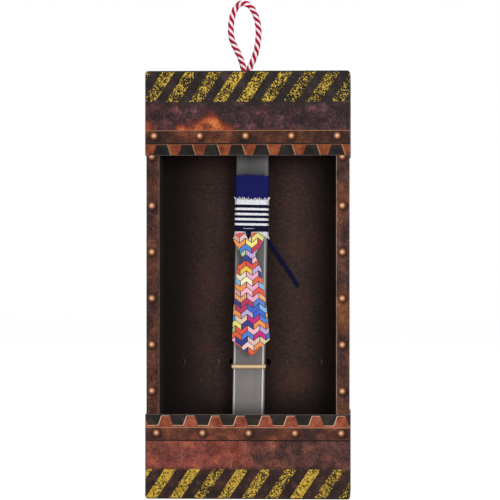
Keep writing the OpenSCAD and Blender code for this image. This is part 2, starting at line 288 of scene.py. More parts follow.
@dataclass(frozen=True)
class CapPrint(Finish):
    """Printed and varnished carton board of a cap. The eye gets a rust-and-iron print: worn hazard
    stripes at the closed end, bare rust, a riveted strip and a row of rack teeth at the open edge,
    with grey pulp showing inside and at the cut edge. Heights count from the open edge."""

    end: CapEnd = CapEnd.TOP
    open_z: float = 257.755
    half_w: float = 77.1
    half_d: float = 20.35
    cap_h: float = 63.5
    board: float = 0.6
    # Rack teeth, and the lines that trace them
    tooth_pitch: float = 18.7
    tooth_shift: float = 1.3
    tooth_tip: float = 5.2
    tooth_base: float = 10.9
    tooth_from: float = -0.4
    tooth_to: float = 8.3
    tooth_tones: Ramp = ((0.38, "4b2115"), (0.5, "743821"), (0.62, "9e5531"))
    tooth_line: str = "a07a5c"
    flank_half: float = 0.34
    tip_half: float = 0.3
    root_line: str = "5a4238"
    root_half: float = 0.26
    gap_tones: Ramp = ((0.38, "0d0b0a"), (0.5, "171412"), (0.64, "2d2824"))
    # Riveted strip, and the height, half width and tone of each line along it
    strip_low: float = 8.6
    strip_high: float = 18.5
    strip_cool: Ramp = ((0.36, "1b1111"), (0.5, "37211b"), (0.64, "643a28"))
    strip_warm: Ramp = ((0.36, "2f1914"), (0.5, "5b3122"), (0.64, "8a5237"))
    strip_tilt: float = 0.0006
    strip_lines: tuple[tuple[float, float, str], ...] = (
        (8.1, 0.28, "7d4c38"), (8.8, 0.5, "140e0d"), (18.6, 0.3, "8f6145"))
    rivet: Rivet = Rivet()
    rivet_pitch: float = 34.4
    rivet_shift: float = -1.4
    rivet_h: float = 14.7
    # Hazard stripes on iron, and the noise levels above which their paint is kept
    stripe_from: float = 40.2
    stripe_pitch: float = 17.7
    stripe_w: float = 9.8
    stripe_shift: float = 4.8
    stripe_slant: float = 0.67
    paint: Ramp = ((0.42, "ba9632"), (0.56, "d6b13d"), (0.7, "eacd54"))
    primer: str = "161110"
    iron: Ramp = ((0.36, "181413"), (0.52, "28211f"), (0.66, "4a3d39"))
    iron_fade: float = 7.0
    bare: Pair = (0.56, 0.507)
    bare_spread: float = 0.05
    # Rust between the strip and the stripes, with its scratches, glowing blots, sparks and pits
    cool: Ramp = ((0.37, "191213"), (0.47, "2d1f22"), (0.55, "472e32"), (0.65, "7b5053"))
    warm: Ramp = ((0.37, "1e1213"), (0.47, "3e2121"), (0.55, "62302b"), (0.65, "954b37"))
    warm_tilt: float = 0.0
    drift: Triple = (0.0, 0.0, 0.0)
    scratch: Triple = (0.9, 0.9, 14.0)
    scratch_tone: str = "b09aa6"
    glow: Ramp = ((0.1, "4a211d"), (0.4, "853824"), (0.7, "bb5830"), (0.95, "de8a48"))
    glow_reach: Pair = (5.0, 20.0)
    glow_at: Pair = (0.485, 0.58)
    spark: str = "a8807a"
    pit: str = "1a1213"
    # A painted shade line along the closed end's fold, wear at the side folds and the open edge, and the
    # bare board
    crease_shade: float = 0.9
    crease_shade_tone: str = "1d191a"
    fold_half: float = 0.35
    fold_tone: str = "7d6f66"
    lip_h: float = 0.25
    lip_tone: str = "5d534b"
    pulp: Ramp = ((0.3, "857f78"), (0.7, "aaa49b"))
    relief: float = 0.02

    def look(self, n: NodeMaker) -> Look:
        """Draws the print as layers by height above the open edge and distance round the cap.

        Args:
            n: Adds a node to the material's tree.

        Returns:
            Base Color and Height sockets.
        """
        up = self.end.value
        g = Ground(n, drift=self.drift)
        outward = n("Math", g.facing[2], up, operation="MULTIPLY")
        lid = n("Math", outward, SQUARE_ON, operation="GREATER_THAN")
        depth = n("Math", g.y, self.half_d, operation="ADD")
        # The print runs round the folds: across the front, then back along both sides
        along = n("Math", n("Math", g.x, operation="SIGN"), depth, g.x, operation="MULTIPLY_ADD")
        u = n("Mix", lid, {2: along, 3: g.x})
        rise = n("Math", g.z, up, -self.open_z * up, operation="MULTIPLY_ADD")
        h = n("Math", lid, depth, rise, operation="MULTIPLY_ADD")
        layers = [
            *self.rust_layers(n, g, h),
            *self.stripe_layers(n, g, u, h),
            *self.strip_layers(n, g, u, h),
            *self.tooth_layers(n, g, u, h),
            *self.wear_layers(n, g, u, rise, outward),
        ]
        colour = stack(n, g.rust(n, self.cool, self.warm, self.warm_tilt), layers)
        return {"Base Color": colour, "Height": n("Math", g.grit, self.relief, operation="MULTIPLY")}

    def rust_layers(self, n: NodeMaker, g: Ground, h: Socket) -> list[Layer]:
        """Draws the scratches in the rust, its glowing blots next to the strip, its sparks and its pits.

        Args:
            n: Adds a node to the material's tree.
            g: The print's ground.
            h: Height above the open edge.

        Returns:
            The layers from the lowest up.
        """
        upright = n("Mapping", g.spot, {"Scale": tuple(1 / size for size in self.scratch)})
        scratch = n("TexNoise", upright, {"Scale": 1.0, "Detail": 3.0, "Roughness": 0.6})
        worn = n("MapRange", g.patch, *g.CHANGE, 0.0, 0.45)
        scored = n("Math", n("MapRange", scratch, 0.62, 0.71), worn, operation="MULTIPLY")
        full, gone = (self.strip_high + reach for reach in self.glow_reach)
        near = n("MapRange", h, full, gone, 1.0, 0.0)
        blot = n("MapRange", g.patch, *self.glow_at)
        broken = n("MapRange", n("Math", g.grime, g.grit, operation="ADD"), 0.85, 1.1, 0.15)
        heat = n("Math", n("Math", near, blot, operation="MULTIPLY"), broken, operation="MULTIPLY")
        glowing = n("MapRange", heat, 0.04, 0.3)
        pits = n("MapRange", g.grit, 0.51, 0.64, 0.0, 0.65)
        sparks = n("MapRange", g.grit, 0.47, 0.37, 0.0, 0.14)
        glow_tone = n("ValToRGB", heat, stops=self.glow)
        return [(scored, self.scratch_tone), (glowing, glow_tone), (sparks, self.spark), (pits, self.pit)]

    def stripe_layers(self, n: NodeMaker, g: Ground, u: Socket, h: Socket) -> list[Layer]:
        """Draws the iron ground, the hazard stripes with their paint flaked off in specks, and a painted
        shade line along the closed end's fold.

        Args:
            n: Adds a node to the material's tree.
            g: The print's ground.
            u: Distance round the cap.
            h: Height above the open edge.

        Returns:
            The layers from the lowest up.
        """
        iron = n("MapRange", h, self.stripe_from - self.iron_fade, self.stripe_from + 1)
        slide = n("Math", h, -self.stripe_slant * self.end.value, u, operation="MULTIPLY_ADD")
        slide = n("Math", slide, self.stripe_shift, operation="SUBTRACT")
        count = n("Math", slide, 1 / self.stripe_pitch, 0.5, operation="MULTIPLY_ADD")
        luck = n("TexWhiteNoise", {"W": n("Math", count, operation="FLOOR")}, noise_dimensions="1D")
        across = n("Math", slide, self.stripe_pitch / 2, -self.stripe_pitch / 2, operation="WRAP")
        stripe = n("Math", across, 0.0, self.stripe_w / 2, operation="COMPARE")
        # Some stripes have lost more paint than their neighbours
        bare = n("MapRange", g.patch, 0.34, 0.66, *self.bare)
        bare = n("Math", luck, self.bare_spread, bare, operation="MULTIPLY_ADD")
        speck = n("Math", g.grit, 0.75, operation="MULTIPLY")
        flaked = n("Math", g.grime, 0.3, speck, operation="MULTIPLY_ADD")
        kept = n("Math", flaked, bare, operation="GREATER_THAN")
        ends = n("Math", h, self.stripe_from, operation="GREATER_THAN")
        stripe = n("Math", stripe, ends, operation="MULTIPLY")
        painted = n("Math", stripe, kept, operation="MULTIPLY")
        primed = n("Math", stripe, 0.6, operation="MULTIPLY")
        # A painted shade line along the fold at the closed end
        crease_shade = n("Math", h, self.cap_h, self.crease_shade, operation="COMPARE")
        return [
            (iron, n("ValToRGB", g.grime, stops=self.iron)),
            (primed, self.primer),
            (painted, n("ValToRGB", g.grit, stops=self.paint)),
            (crease_shade, self.crease_shade_tone),
        ]

    def strip_layers(self, n: NodeMaker, g: Ground, u: Socket, h: Socket) -> list[Layer]:
        """Draws the riveted strip.

        Args:
            n: Adds a node to the material's tree.
            g: The print's ground.
            u: Distance round the cap.
            h: Height above the open edge.

        Returns:
            The layers from the lowest up.
        """
        middle = (self.strip_low + self.strip_high) / 2
        strip = n("Math", h, middle, self.strip_high - middle, operation="COMPARE")
        across = n("Math", u, self.rivet_shift, operation="SUBTRACT")
        across = n("Math", across, self.rivet_pitch / 2, -self.rivet_pitch / 2, operation="WRAP")
        along = n("Math", h, self.rivet_h, operation="SUBTRACT")
        (shade, dark), head = self.rivet.layers(n, across, along, self.end.value)
        shade = n("Math", shade, strip, operation="MULTIPLY")
        rust = g.rust(n, self.strip_cool, self.strip_warm, self.strip_tilt)
        return [(strip, rust), (shade, dark), head]

    def tooth_layers(self, n: NodeMaker, g: Ground, u: Socket, h: Socket) -> list[Layer]:
        """Draws the rack teeth with their traced edges, and the lines that edge the strip.

        Args:
            n: Adds a node to the material's tree.
            g: The print's ground.
            u: Distance round the cap.
            h: Height above the open edge.

        Returns:
            The layers from the lowest up.
        """
        rack = n("Math", h, self.tooth_to, operation="LESS_THAN")
        begun = n("Math", h, self.tooth_from, operation="GREATER_THAN")
        across = n("Math", u, self.tooth_shift, operation="SUBTRACT")
        across = n("Math", across, self.tooth_pitch / 2, -self.tooth_pitch / 2, operation="WRAP")
        widen = (self.tooth_base - self.tooth_tip) / 2 / (self.tooth_to - self.tooth_from)
        start = self.tooth_tip / 2 - self.tooth_from * widen
        half = n("Math", h, widen, start, operation="MULTIPLY_ADD")
        inside = n("Math", half, n("Math", across, operation="ABSOLUTE"), operation="SUBTRACT")
        within = n("Math", inside, 0.0, operation="GREATER_THAN")
        tooth = n("Math", within, begun, operation="MULTIPLY")
        gap = n("Math", rack, tooth, operation="SUBTRACT", use_clamp=True)
        # One line traces each tooth's left flank and its tip, and another the root between two teeth
        left = n("Math", across, 0.0, operation="LESS_THAN")
        flank = n("Math", inside, 0.0, self.flank_half, operation="COMPARE")
        flank = n("Math", flank, left, operation="MULTIPLY")
        reach = n("Math", rack, begun, operation="MULTIPLY")
        flank = n("Math", flank, reach, operation="MULTIPLY")
        tip = n("Math", h, self.tooth_from, self.tip_half, operation="COMPARE")
        tip = n("Math", tip, within, operation="MULTIPLY")
        root = n("Math", h, self.tooth_to, self.root_half, operation="COMPARE")
        root = n("Math", root, within, operation="SUBTRACT", use_clamp=True)
        traced = n("Math", flank, tip, operation="MAXIMUM")
        copper = n("Math", h, self.strip_low, operation="LESS_THAN")
        layers = [
            (copper, n("ValToRGB", g.grime, stops=self.tooth_tones)),
            (gap, n("ValToRGB", g.grime, stops=self.gap_tones)),
        ]
        for at, wide, tone in self.strip_lines:
            layers.append((n("Math", h, at, wide, operation="COMPARE"), tone))
        return [*layers, (root, self.root_line), (traced, self.tooth_line)]

    def wear_layers(
        self, n: NodeMaker, g: Ground, u: Socket, rise: Socket, outward: Socket
    ) -> list[Layer]:
        """Draws the varnish rubbed off along the folds, and bare pulp wherever the outer skin ends.

        Args:
            n: Adds a node to the material's tree.
            g: The print's ground.
            u: Distance round the cap.
            rise: Height above the open edge, on every face.
            outward: How far a face looks out of the closed end.

        Returns:
            The layers from the lowest up.
        """
        aside = n("Math", u, operation="ABSOLUTE")
        fold = n("Math", aside, self.half_w, self.fold_half, operation="COMPARE")
        rubbed = n("Math", fold, n("MapRange", g.grime, 0.42, 0.62, 0.0, 0.6), operation="MULTIPLY")
        lip = n("Math", rise, self.lip_h, operation="LESS_THAN")
        skin = n("Math", rise, self.cap_h - self.board / 2, operation="GREATER_THAN")
        for value, edge in ((g.x, self.half_w), (g.y, self.half_d)):
            off = n("Math", value, operation="ABSOLUTE")
            outer = n("Math", off, edge - self.board / 2, operation="GREATER_THAN")
            skin = n("Math", skin, outer, operation="MAXIMUM")
        cut = n("Math", outward, -SQUARE_ON, operation="LESS_THAN")
        pulp = n("Math", n("Math", 1.0, skin, operation="SUBTRACT"), cut, operation="MAXIMUM")
        pulp_tone = n("ValToRGB", g.grit, stops=self.pulp)
        return [(rubbed, self.fold_tone), (lip, self.lip_tone), (pulp, pulp_tone)]


@dataclass(frozen=True)
class RimPrint(Finish):
    """Printed carton board of a hollow rim. The eye gets a narrow rusty strip with a rivet every 35 mm,
    a thin rubbed line along the inner fold, and near-black print inside the recess."""

    side: float = 1.0
    middle: float = 71.1
    inner: float = 66.25
    front_y: float = -19.5
    rivet: Rivet = Rivet()
    rivet_pitch: float = 34.75
    rivet_z: float = 81.1
    high_z: float = 240.0
    high_rise: float = 2.3
    cool: Ramp = ((0.36, "1d1315"), (0.48, "372324"), (0.58, "543531"), (0.67, "744e44"))
    warm: Ramp = ((0.36, "3b2216"), (0.48, "653b25"), (0.58, "845235"), (0.67, "a16d49"))
    grime: Triple = (7.0, 7.0, 12.0)
    pit: str = "1c100d"
    spark: str = "a8755a"
    wall_in: float = 0.3
    wall_cool: str = "0c0908"
    wall_pale: str = "211714"
    fold_in: float = 0.4
    fold_half: float = 0.28
    fold_depth: float = 1.2
    fold_tone: str = "a89384"
    fold_worn: float = 0.9
    pulp: Ramp = ((0.3, "8f8981"), (0.7, "b1aba2"))
    relief: float = 0.02

    def look(self, n: NodeMaker) -> Look:
        """Draws the rim's print.

        Args:
            n: Adds a node to the material's tree.

        Returns:
            Base Color and Height sockets.
        """
        g = Ground(n, self.grime)
        out = n("Math", g.x, self.side, operation="MULTIPLY")
        across = n("Math", g.x, self.side * self.middle, operation="SUBTRACT")
        along = n("Math", g.z, self.rivet_z, operation="SUBTRACT")
        # The highest rivet stands a little further up than its pitch
        high = n("Math", g.z, self.high_z, operation="GREATER_THAN")
        along = n("Math", high, -self.high_rise, along, operation="MULTIPLY_ADD")
        along = n("Math", along, self.rivet_pitch / 2, -self.rivet_pitch / 2, operation="WRAP")
        wall = n("Math", out, self.inner + self.wall_in, operation="LESS_THAN")
        front = n("Math", g.y, self.front_y + self.fold_depth, operation="LESS_THAN")
        fold = n("Math", out, self.inner + self.fold_in, self.fold_half, operation="COMPARE")
        fold = n("Math", fold, front, operation="MULTIPLY")
        rubbed = n("MapRange", g.grime, 0.3, 0.6, 0.3, self.fold_worn)
        worn = n("Math", fold, rubbed, operation="MULTIPLY")
        ends = n("Math", g.facing[2], operation="ABSOLUTE")
        pulp = n("Math", ends, SQUARE_ON, operation="GREATER_THAN")
        dark = n("ValToRGB", g.grime, stops=((0.36, self.wall_cool), (0.66, self.wall_pale)))
        colour = stack(n, g.rust(n, self.cool, self.warm), [
            (n("MapRange", g.grit, 0.52, 0.7, 0.0, 0.7), self.pit),
            (n("MapRange", g.grit, 0.46, 0.3, 0.0, 0.45), self.spark),
            *self.rivet.layers(n, across, along, 1.0),
            (wall, dark),
            (worn, self.fold_tone),
            (pulp, n("ValToRGB", g.grit, stops=self.pulp)),
        ])
        return {"Base Color": colour, "Height": n("Math", g.grit, self.relief, operation="MULTIPLY")}


@dataclass(frozen=True)
class DarkCard(Finish):
    """Matt printed card, deep reddish brown, nearly black at its sides partly by its print and partly by
    painted shade. Painted shade also darkens it towards both caps, and a painted shadow lies beside the
    candle. The eye gets a finely mottled ground, and pale pulp only at the punched edges."""

    outside_y: float = 99.0
    hole_y: float = 6.05
    hole_x: float = 60.0
    # Where the painted shade lies: towards the sides, partly the print's own vignette, beside the candle
    # and towards both caps
    dark_x: float = 63.0
    light_x: float = 22.0
    middle_x: float = 5.0
    candle_x: float = 1.0
    candle_shadow_x: Pair = (14.0, 33.0)
    dark_z: float = 270.0
    light_z: float = 225.0
    disc_pitch: float = 26.2
    disc_z: float = 101.3
    disc_r: float = 2.45
    disc_half: float = 0.3
    # Each disc's pale crescent: the light board of its raised cut edge, with a painted highlight on it
    disc_side: Pair = (1.0, 2.2)
    disc_gleam: float = 0.4
    disc_gleam_tone: str = "8b8078"
    foot_shade_z: Pair = (64.0, 84.0)
    grime: Triple = (3.0, 3.0, 2.0)
    # The tone in the painted shade, and the lit tone
    cool: Ramp = ((0.3, "100d0b"), (0.5, "191311"), (0.7, "241917"))
    warm: Ramp = ((0.3, "251c19"), (0.5, "3a2d29"), (0.7, "553f39"))
    outer: Ramp = ((0.38, "2c1c17"), (0.5, "523427"), (0.64, "7a523e"))
    red: str = "55302a"
    speck: str = "6b3328"
    pulp: str = "9b9188"
    relief: float = 0.03

    def look(self, n: NodeMaker) -> Look:
        """Draws the mottled ground with its painted shade, the discs' pale edges with a painted highlight,
        and the pulp at the punched edges.

        Args:
            n: Adds a node to the material's tree.

        Returns:
            Base Color and Height sockets.
        """
        g = Ground(n, self.grime)
        # Painted shade towards the sides, partly the print's own vignette, and towards the top cap and the
        # bottom cap
        far = n("Math", n("Math", g.x, self.middle_x, operation="SUBTRACT"), operation="ABSOLUTE")
        near = n("MapRange", far, self.dark_x, self.light_x, interpolation_type="SMOOTHSTEP")
        low = n("MapRange", g.z, self.dark_z, self.light_z, 0.55, 1.0)
        foot_shade = n("MapRange", g.z, *self.foot_shade_z, 0.1, 1.0)
        # A painted shadow of the candle beside it
        aside = n("Math", n("Math", g.x, self.candle_x, operation="SUBTRACT"), operation="ABSOLUTE")
        candle_shadow = n("MapRange", aside, *self.candle_shadow_x, 0.4, 1.0)
        pale = near
        for part in (low, foot_shade, candle_shadow):
            pale = n("Math", pale, part, operation="MULTIPLY")
        inside = n("ValToRGB", g.grime, stops=self.cool)
        inside = stack(n, inside, [(pale, n("ValToRGB", g.grime, stops=self.warm))])
        outer = n("ValToRGB", g.grime, stops=self.outer)
        shell = n("Math", g.y, self.outside_y, operation="GREATER_THAN")
        speck = n("MapRange", g.grit, 0.6, 0.72, 0.0, 0.25)
        speck = n("Math", speck, pale, operation="MULTIPLY")
        red = n("Math", n("MapRange", g.patch, 0.46, 0.66, 0.0, 0.32), pale, operation="MULTIPLY")
        edge = n("Math", n("Math", g.facing[1], operation="ABSOLUTE"), 0.5, operation="LESS_THAN")
        wide = n("Math", g.x, operation="ABSOLUTE")
        for value, limit in ((g.y, self.hole_y), (wide, self.hole_x)):
            edge = n("Math", edge, n("Math", value, limit, operation="LESS_THAN"), operation="MULTIPLY")
        # Each die-cut disc shows a pale crescent along its right-hand edge: the light board of its raised
        # cut edge, with a painted highlight on it
        across = n("Math", g.x, self.disc_pitch / 2, -self.disc_pitch / 2, operation="WRAP")
        spot = n("CombineXYZ", across, n("Math", g.z, self.disc_z, operation="SUBTRACT"))
        away = n("VectorMath", spot, out=1, operation="LENGTH")
        cut = n("Math", away, self.disc_r, self.disc_half, operation="COMPARE")
        side = n("MapRange", across, *self.disc_side, 0.0, self.disc_gleam)
        rubbed = n("Math", cut, side, operation="MULTIPLY")
        colour = stack(n, inside, [
            (red, self.red),
            (speck, self.speck),
            (rubbed, self.disc_gleam_tone),
            (shell, outer),
            (edge, self.pulp),
        ])
        return {"Base Color": colour, "Height": n("Math", g.grime, self.relief, operation="MULTIPLY")}


def turned(n: NodeMaker, middle: Vector, turn: float, keep: bool) -> Socket:
    """Reads the Object coordinates in the frame of a leaning sub-assembly.

    Args:
        n: Adds a node to the material's tree.
        middle: The point that the frame turns about.
        turn: Its turn about the depth, in radians.
        keep: Whether the coordinates keep their heights, or start from the middle point.

    Returns:
        The coordinates in millimetres.
    """
    back = Euler((0.0, -turn, 0.0))
    shift = (middle if keep else Vector()) - back.to_matrix() @ middle
    at = {"Location": shift, "Rotation": back, "Scale": (1 / MM,) * 3}
    return n("Mapping", n("TexCoord", out="Object"), at)


@dataclass(frozen=True)
class ScrapedWax(Finish):
    """Grey pigmented paraffin, scraped along its length. The eye gets a satin grey bar with lengthwise
    scrape lines. Painted shade darkens it towards the top, less so towards both edges there, in a band
    round the elastic, just above the ribbon and at the foot. A thin painted highlight runs along each cut
    edge and grows brighter towards the foot, and the chamfers are painted lighter as painted light. The
    scrape lines are drawn 0.9 mm wide, coarser than real ones, so that they show in the render."""

    scrape: Triple = (0.9, 0.9, 90.0)
    cloud: float = 18.0
    # The wax's own grey, and the darker tone of the painted shade towards the top
    pale: Ramp = ((0.35, "6d6766"), (0.5, "76706f"), (0.65, "7f7978"))
    deep: Ramp = ((0.35, "424141"), (0.5, "464545"), (0.65, "4a4949"))
    top_shade: Pair = (96.0, 190.0)
    # A painted highlight along each cut edge
    edge_x: float = 10.75
    edge_w: float = 0.75
    edge_core: float = 0.15
    edge_highlight_tone: str = "e6e5e4"
    bright: Triple = (200.0, 238.0, 95.0)
    face_y: float = 4.4
    # The chamfers are painted lighter, as painted light
    chamfer_light_w: float = 0.6
    chamfer_light_tone: str = "9a9796"
    # Painted shade at the foot, next to the bottom cap
    foot_shade_z: Pair = (73.0, 64.0)
    foot_shade_tone: str = "3a3736"
    # Painted shade in a band round the elastic
    elastic_z: float = 104.0
    elastic_shade_reach: Pair = (16.0, 3.0)
    elastic_shade_tone: str = "565251"
    # Painted shade just above the ribbon
    ribbon_shade_z: Pair = (254.0, 244.0)
    ribbon_under: float = 6.0
    ribbon_shade_tone: str = "272727"
    relief: float = 0.05

    def look(self, n: NodeMaker) -> Look:
        """Draws the scrape lines, the painted shade, the painted light on the chamfers and the
        painted highlights.

        Args:
            n: Adds a node to the material's tree.

        Returns:
            Base Color, Roughness and Height sockets.
        """
        spot = turned(n, CANDLE_PIVOT, CANDLE_LEAN, True)
        x, y, z = n("SeparateXYZ", spot).node.outputs
        drawn = n("Mapping", spot, {"Scale": tuple(1 / size for size in self.scrape)})
        scrape = n("TexNoise", drawn, {"Scale": 1.0, "Detail": 5.0, "Roughness": 0.7})
        cloud = n("TexNoise", spot, {"Scale": 1 / self.cloud, "Detail": 4.0})
        streak = n("Math", scrape, 0.65, operation="MULTIPLY")
        streak = n("Math", cloud, 0.35, streak, operation="MULTIPLY_ADD")
        pale = n("ValToRGB", streak, stops=self.pale)
        deep = n("ValToRGB", streak, stops=self.deep)
        wide = n("Math", x, operation="ABSOLUTE")
        # Towards both edges the painted shade at the top is lighter
        edges_lifted = n("MapRange", wide, 1.0, self.edge_x, 0.0, 0.35, interpolation_type="SMOOTHSTEP")
        deep = stack(n, deep, [(edges_lifted, pale)])
        # A painted highlight along each cut edge, brighter towards the foot
        off = n("Math", n("Math", wide, self.edge_x, operation="SUBTRACT"), operation="ABSOLUTE")
        line = n("MapRange", off, self.edge_core, self.edge_w, 1.0, 0.0)
        face = n("Math", n("Math", y, CANDLE_PIVOT.y, operation="SUBTRACT"), operation="ABSOLUTE")
        face = n("Math", face, self.face_y, operation="GREATER_THAN")
        # The painted highlight reaches further up the right-hand edge than the left one
        left, right, full = self.bright
        start = n("MapRange", x, -1.0, 1.0, left, right)
        worn = n("MapRange", z, start, full, 0.03, 0.95)
        edge = n("Math", n("Math", line, face, operation="MULTIPLY"), worn, operation="MULTIPLY")
        # The chamfers are painted lighter, as painted light
        side = n("MapRange", wide, self.edge_x, self.edge_x + self.chamfer_light_w, 0.0, 0.4)
        # Painted shade darkens the bar towards the top
        top_shade = n("MapRange", z, *self.top_shade)
        # Painted shade at the foot, next to the bottom cap
        foot_shade = n("MapRange", z, *self.foot_shade_z, 0.0, 0.6)
        # Painted shade in a band round the elastic
        away = n("Math", n("Math", z, self.elastic_z, operation="SUBTRACT"), operation="ABSOLUTE")
        shaded = n("MapRange", away, *self.elastic_shade_reach, 0.0, 0.55)
        # Painted shade just above the ribbon
        dyed = n("MapRange", z, *self.ribbon_shade_z, 0.0, 0.75)
        # The painted shade ends under the ribbon, so that the wax below the cloth keeps its own grey
        above = n("Math", z, self.ribbon_shade_z[1] - self.ribbon_under, operation="GREATER_THAN")
        dyed = n("Math", dyed, above, operation="MULTIPLY")
        colour = stack(n, pale, [
            (top_shade, deep),
            (shaded, self.elastic_shade_tone),
            (dyed, self.ribbon_shade_tone),
            (side, self.chamfer_light_tone),
            (edge, self.edge_highlight_tone),
            (foot_shade, self.foot_shade_tone),
        ])
        rough = n("MapRange", scrape, 0.3, 0.7, 0.34, 0.5)
        relief = n("Math", scrape, self.relief, operation="MULTIPLY")
        return {"Base Color": colour, "Roughness": rough, "Height": relief}


@dataclass(frozen=True)
class Cloth(Finish):
    """Plain woven cotton, its stripes dyed in the yarn. The eye gets a matt cloth with a soft thread
    relief. The threads are drawn up to 0.9 mm apart, coarser than the real 0.4 mm, so that they show in
    the render."""

    ground: str = "f1f1f3"
    shadow: str = "b2b0ba"
    stripe: str = "0d0e2a"
    first: float = 219.7
    pitch: float = 3.86
    stripe_w: float = 2.1
    first_extra: float = 0.35
    lowest: float = 202.0
    dyed: float = 1.0
    thread: float = 0.9
    fuzz: float = 0.8
    wander: float = 0.7

    def look(self, n: NodeMaker) -> Look:
        """Draws the weave and the stripes across the candle.

        Args:
            n: Adds a node to the material's tree.

        Returns:
            Base Color and Height sockets.
        """
        spot = turned(n, CANDLE_PIVOT, CANDLE_LEAN, True)
        x, y, z = n("SeparateXYZ", spot).node.outputs
        fuzz = n("TexNoise", spot, {"Scale": 1 / self.fuzz, "Detail": 4.0, "Roughness": 0.7})
        rate = 2 * math.pi / self.thread
        around = n("Math", n("Math", x, y, operation="ADD"), rate, operation="MULTIPLY")
        upward = n("Math", z, rate, operation="MULTIPLY")
        warp = n("Math", around, operation="SINE")
        weave = n("Math", warp, n("Math", upward, operation="SINE"), operation="MULTIPLY")
        below_first = n("Math", z, self.first + self.wander / 2, operation="SUBTRACT")
        soft = n("Math", fuzz, self.wander, below_first, operation="MULTIPLY_ADD")
        across = n("Math", soft, self.pitch / 2, -self.pitch / 2, operation="WRAP")
        line = n("Math", across, 0.0, self.stripe_w / 2, operation="COMPARE")
        # The first stripe is a thread wider than the others
        wider = n("Math", soft, self.first_extra, self.stripe_w / 2, operation="COMPARE")
        line = n("Math", line, wider, operation="MAXIMUM")
        above = n("Math", z, self.lowest, operation="GREATER_THAN")
        below = n("Math", z, self.first + self.pitch / 2, operation="LESS_THAN")
        dyed = n("Math", above, below, operation="MULTIPLY")
        mask = n("Math", line, n("Math", dyed, self.dyed, operation="MULTIPLY"), operation="MULTIPLY")
        thread = n("Math", warp, 0.06, fuzz, operation="MULTIPLY_ADD")
        tone = n("ValToRGB", thread, stops=((0.42, self.ground), (0.7, self.shadow)))
        relief = n("Math", fuzz, 0.12, operation="MULTIPLY")
        relief = n("Math", weave, 0.05, relief, operation="MULTIPLY_ADD")
        return {"Base Color": stack(n, tone, [(mask, self.stripe)]), "Height": relief}


@dataclass(frozen=True)
class Fibre(Finish):
    """Fibre in one dye, spun, napped or pressed: cotton strands, suede lace, loose threads or card. The
    eye gets a matt tone broken by short fibres. They are drawn 0.4 mm thick or more, coarser than real
    ones, so that they show in the render."""

    light: str = "f7f5f3"
    dark: str = "d0cbca"
    grain: Triple = (0.8, 0.8, 0.8)
    relief: float = 0.08

    def look(self, n: NodeMaker) -> Look:
        """Draws the nap between two tones.

        Args:
            n: Adds a node to the material's tree.

        Returns:
            Base Color and Height sockets.
        """
        scale = tuple(1 / MM / size for size in self.grain)
        laid = n("Mapping", n("TexCoord", out="Object"), {"Scale": scale})
        nap = n("TexNoise", laid, {"Scale": 1.0, "Detail": 4.0, "Roughness": 0.7})
        colour = n("ValToRGB", nap, stops=((0.32, self.dark), (0.62, self.light)))
        return {"Base Color": colour, "Height": n("Math", nap, self.relief, operation="MULTIPLY")}


@dataclass(frozen=True)
class Elastic(Finish):
    """Cotton-covered rubber pulled flat over the wax. The eye gets a beige band with a painted highlight
    along its middle and painted shade towards its edges, and painted shade where it runs back into the
    holes of the card. Its covering threads are drawn 0.6 mm wide, coarser than real ones, so that they
    show in the render."""

    thread: Triple = (3.0, 3.0, 0.6)
    middle_z: float = 98.65
    half_h: float = 1.5
    # Painted shade behind this depth, where the band runs back into the card
    front_y: float = -8.9
    shade_run: float = 2.0
    tones: Ramp = ((0.0, "e8cfab"), (0.5, "d5b487"), (1.0, "9f7b52"))
    shaded: str = "3d2f22"
    relief: float = 0.1

    def look(self, n: NodeMaker) -> Look:
        """Draws the band's painted highlight and shade, its covering threads and its painted shade at the
        back.

        Args:
            n: Adds a node to the material's tree.

        Returns:
            Base Color and Height sockets.
        """
        g = Ground(n, self.thread)
        # A painted highlight along the band's middle, and painted shade towards its edges
        off = n("Math", n("Math", g.z, self.middle_z, operation="SUBTRACT"), operation="ABSOLUTE")
        tone = n("Math", off, 1 / self.half_h, operation="MULTIPLY")
        threads_tone = n("Math", g.grime, 0.5, operation="SUBTRACT")
        tone = n("Math", threads_tone, 0.8, tone, operation="MULTIPLY_ADD")
        # Painted shade where the band runs back into the holes of the card
        back = n("MapRange", g.y, self.front_y, self.front_y + self.shade_run)
        colour = stack(n, n("ValToRGB", tone, stops=self.tones), [(back, self.shaded)])
        return {"Base Color": colour, "Height": n("Math", g.grime, self.relief, operation="MULTIPLY")}


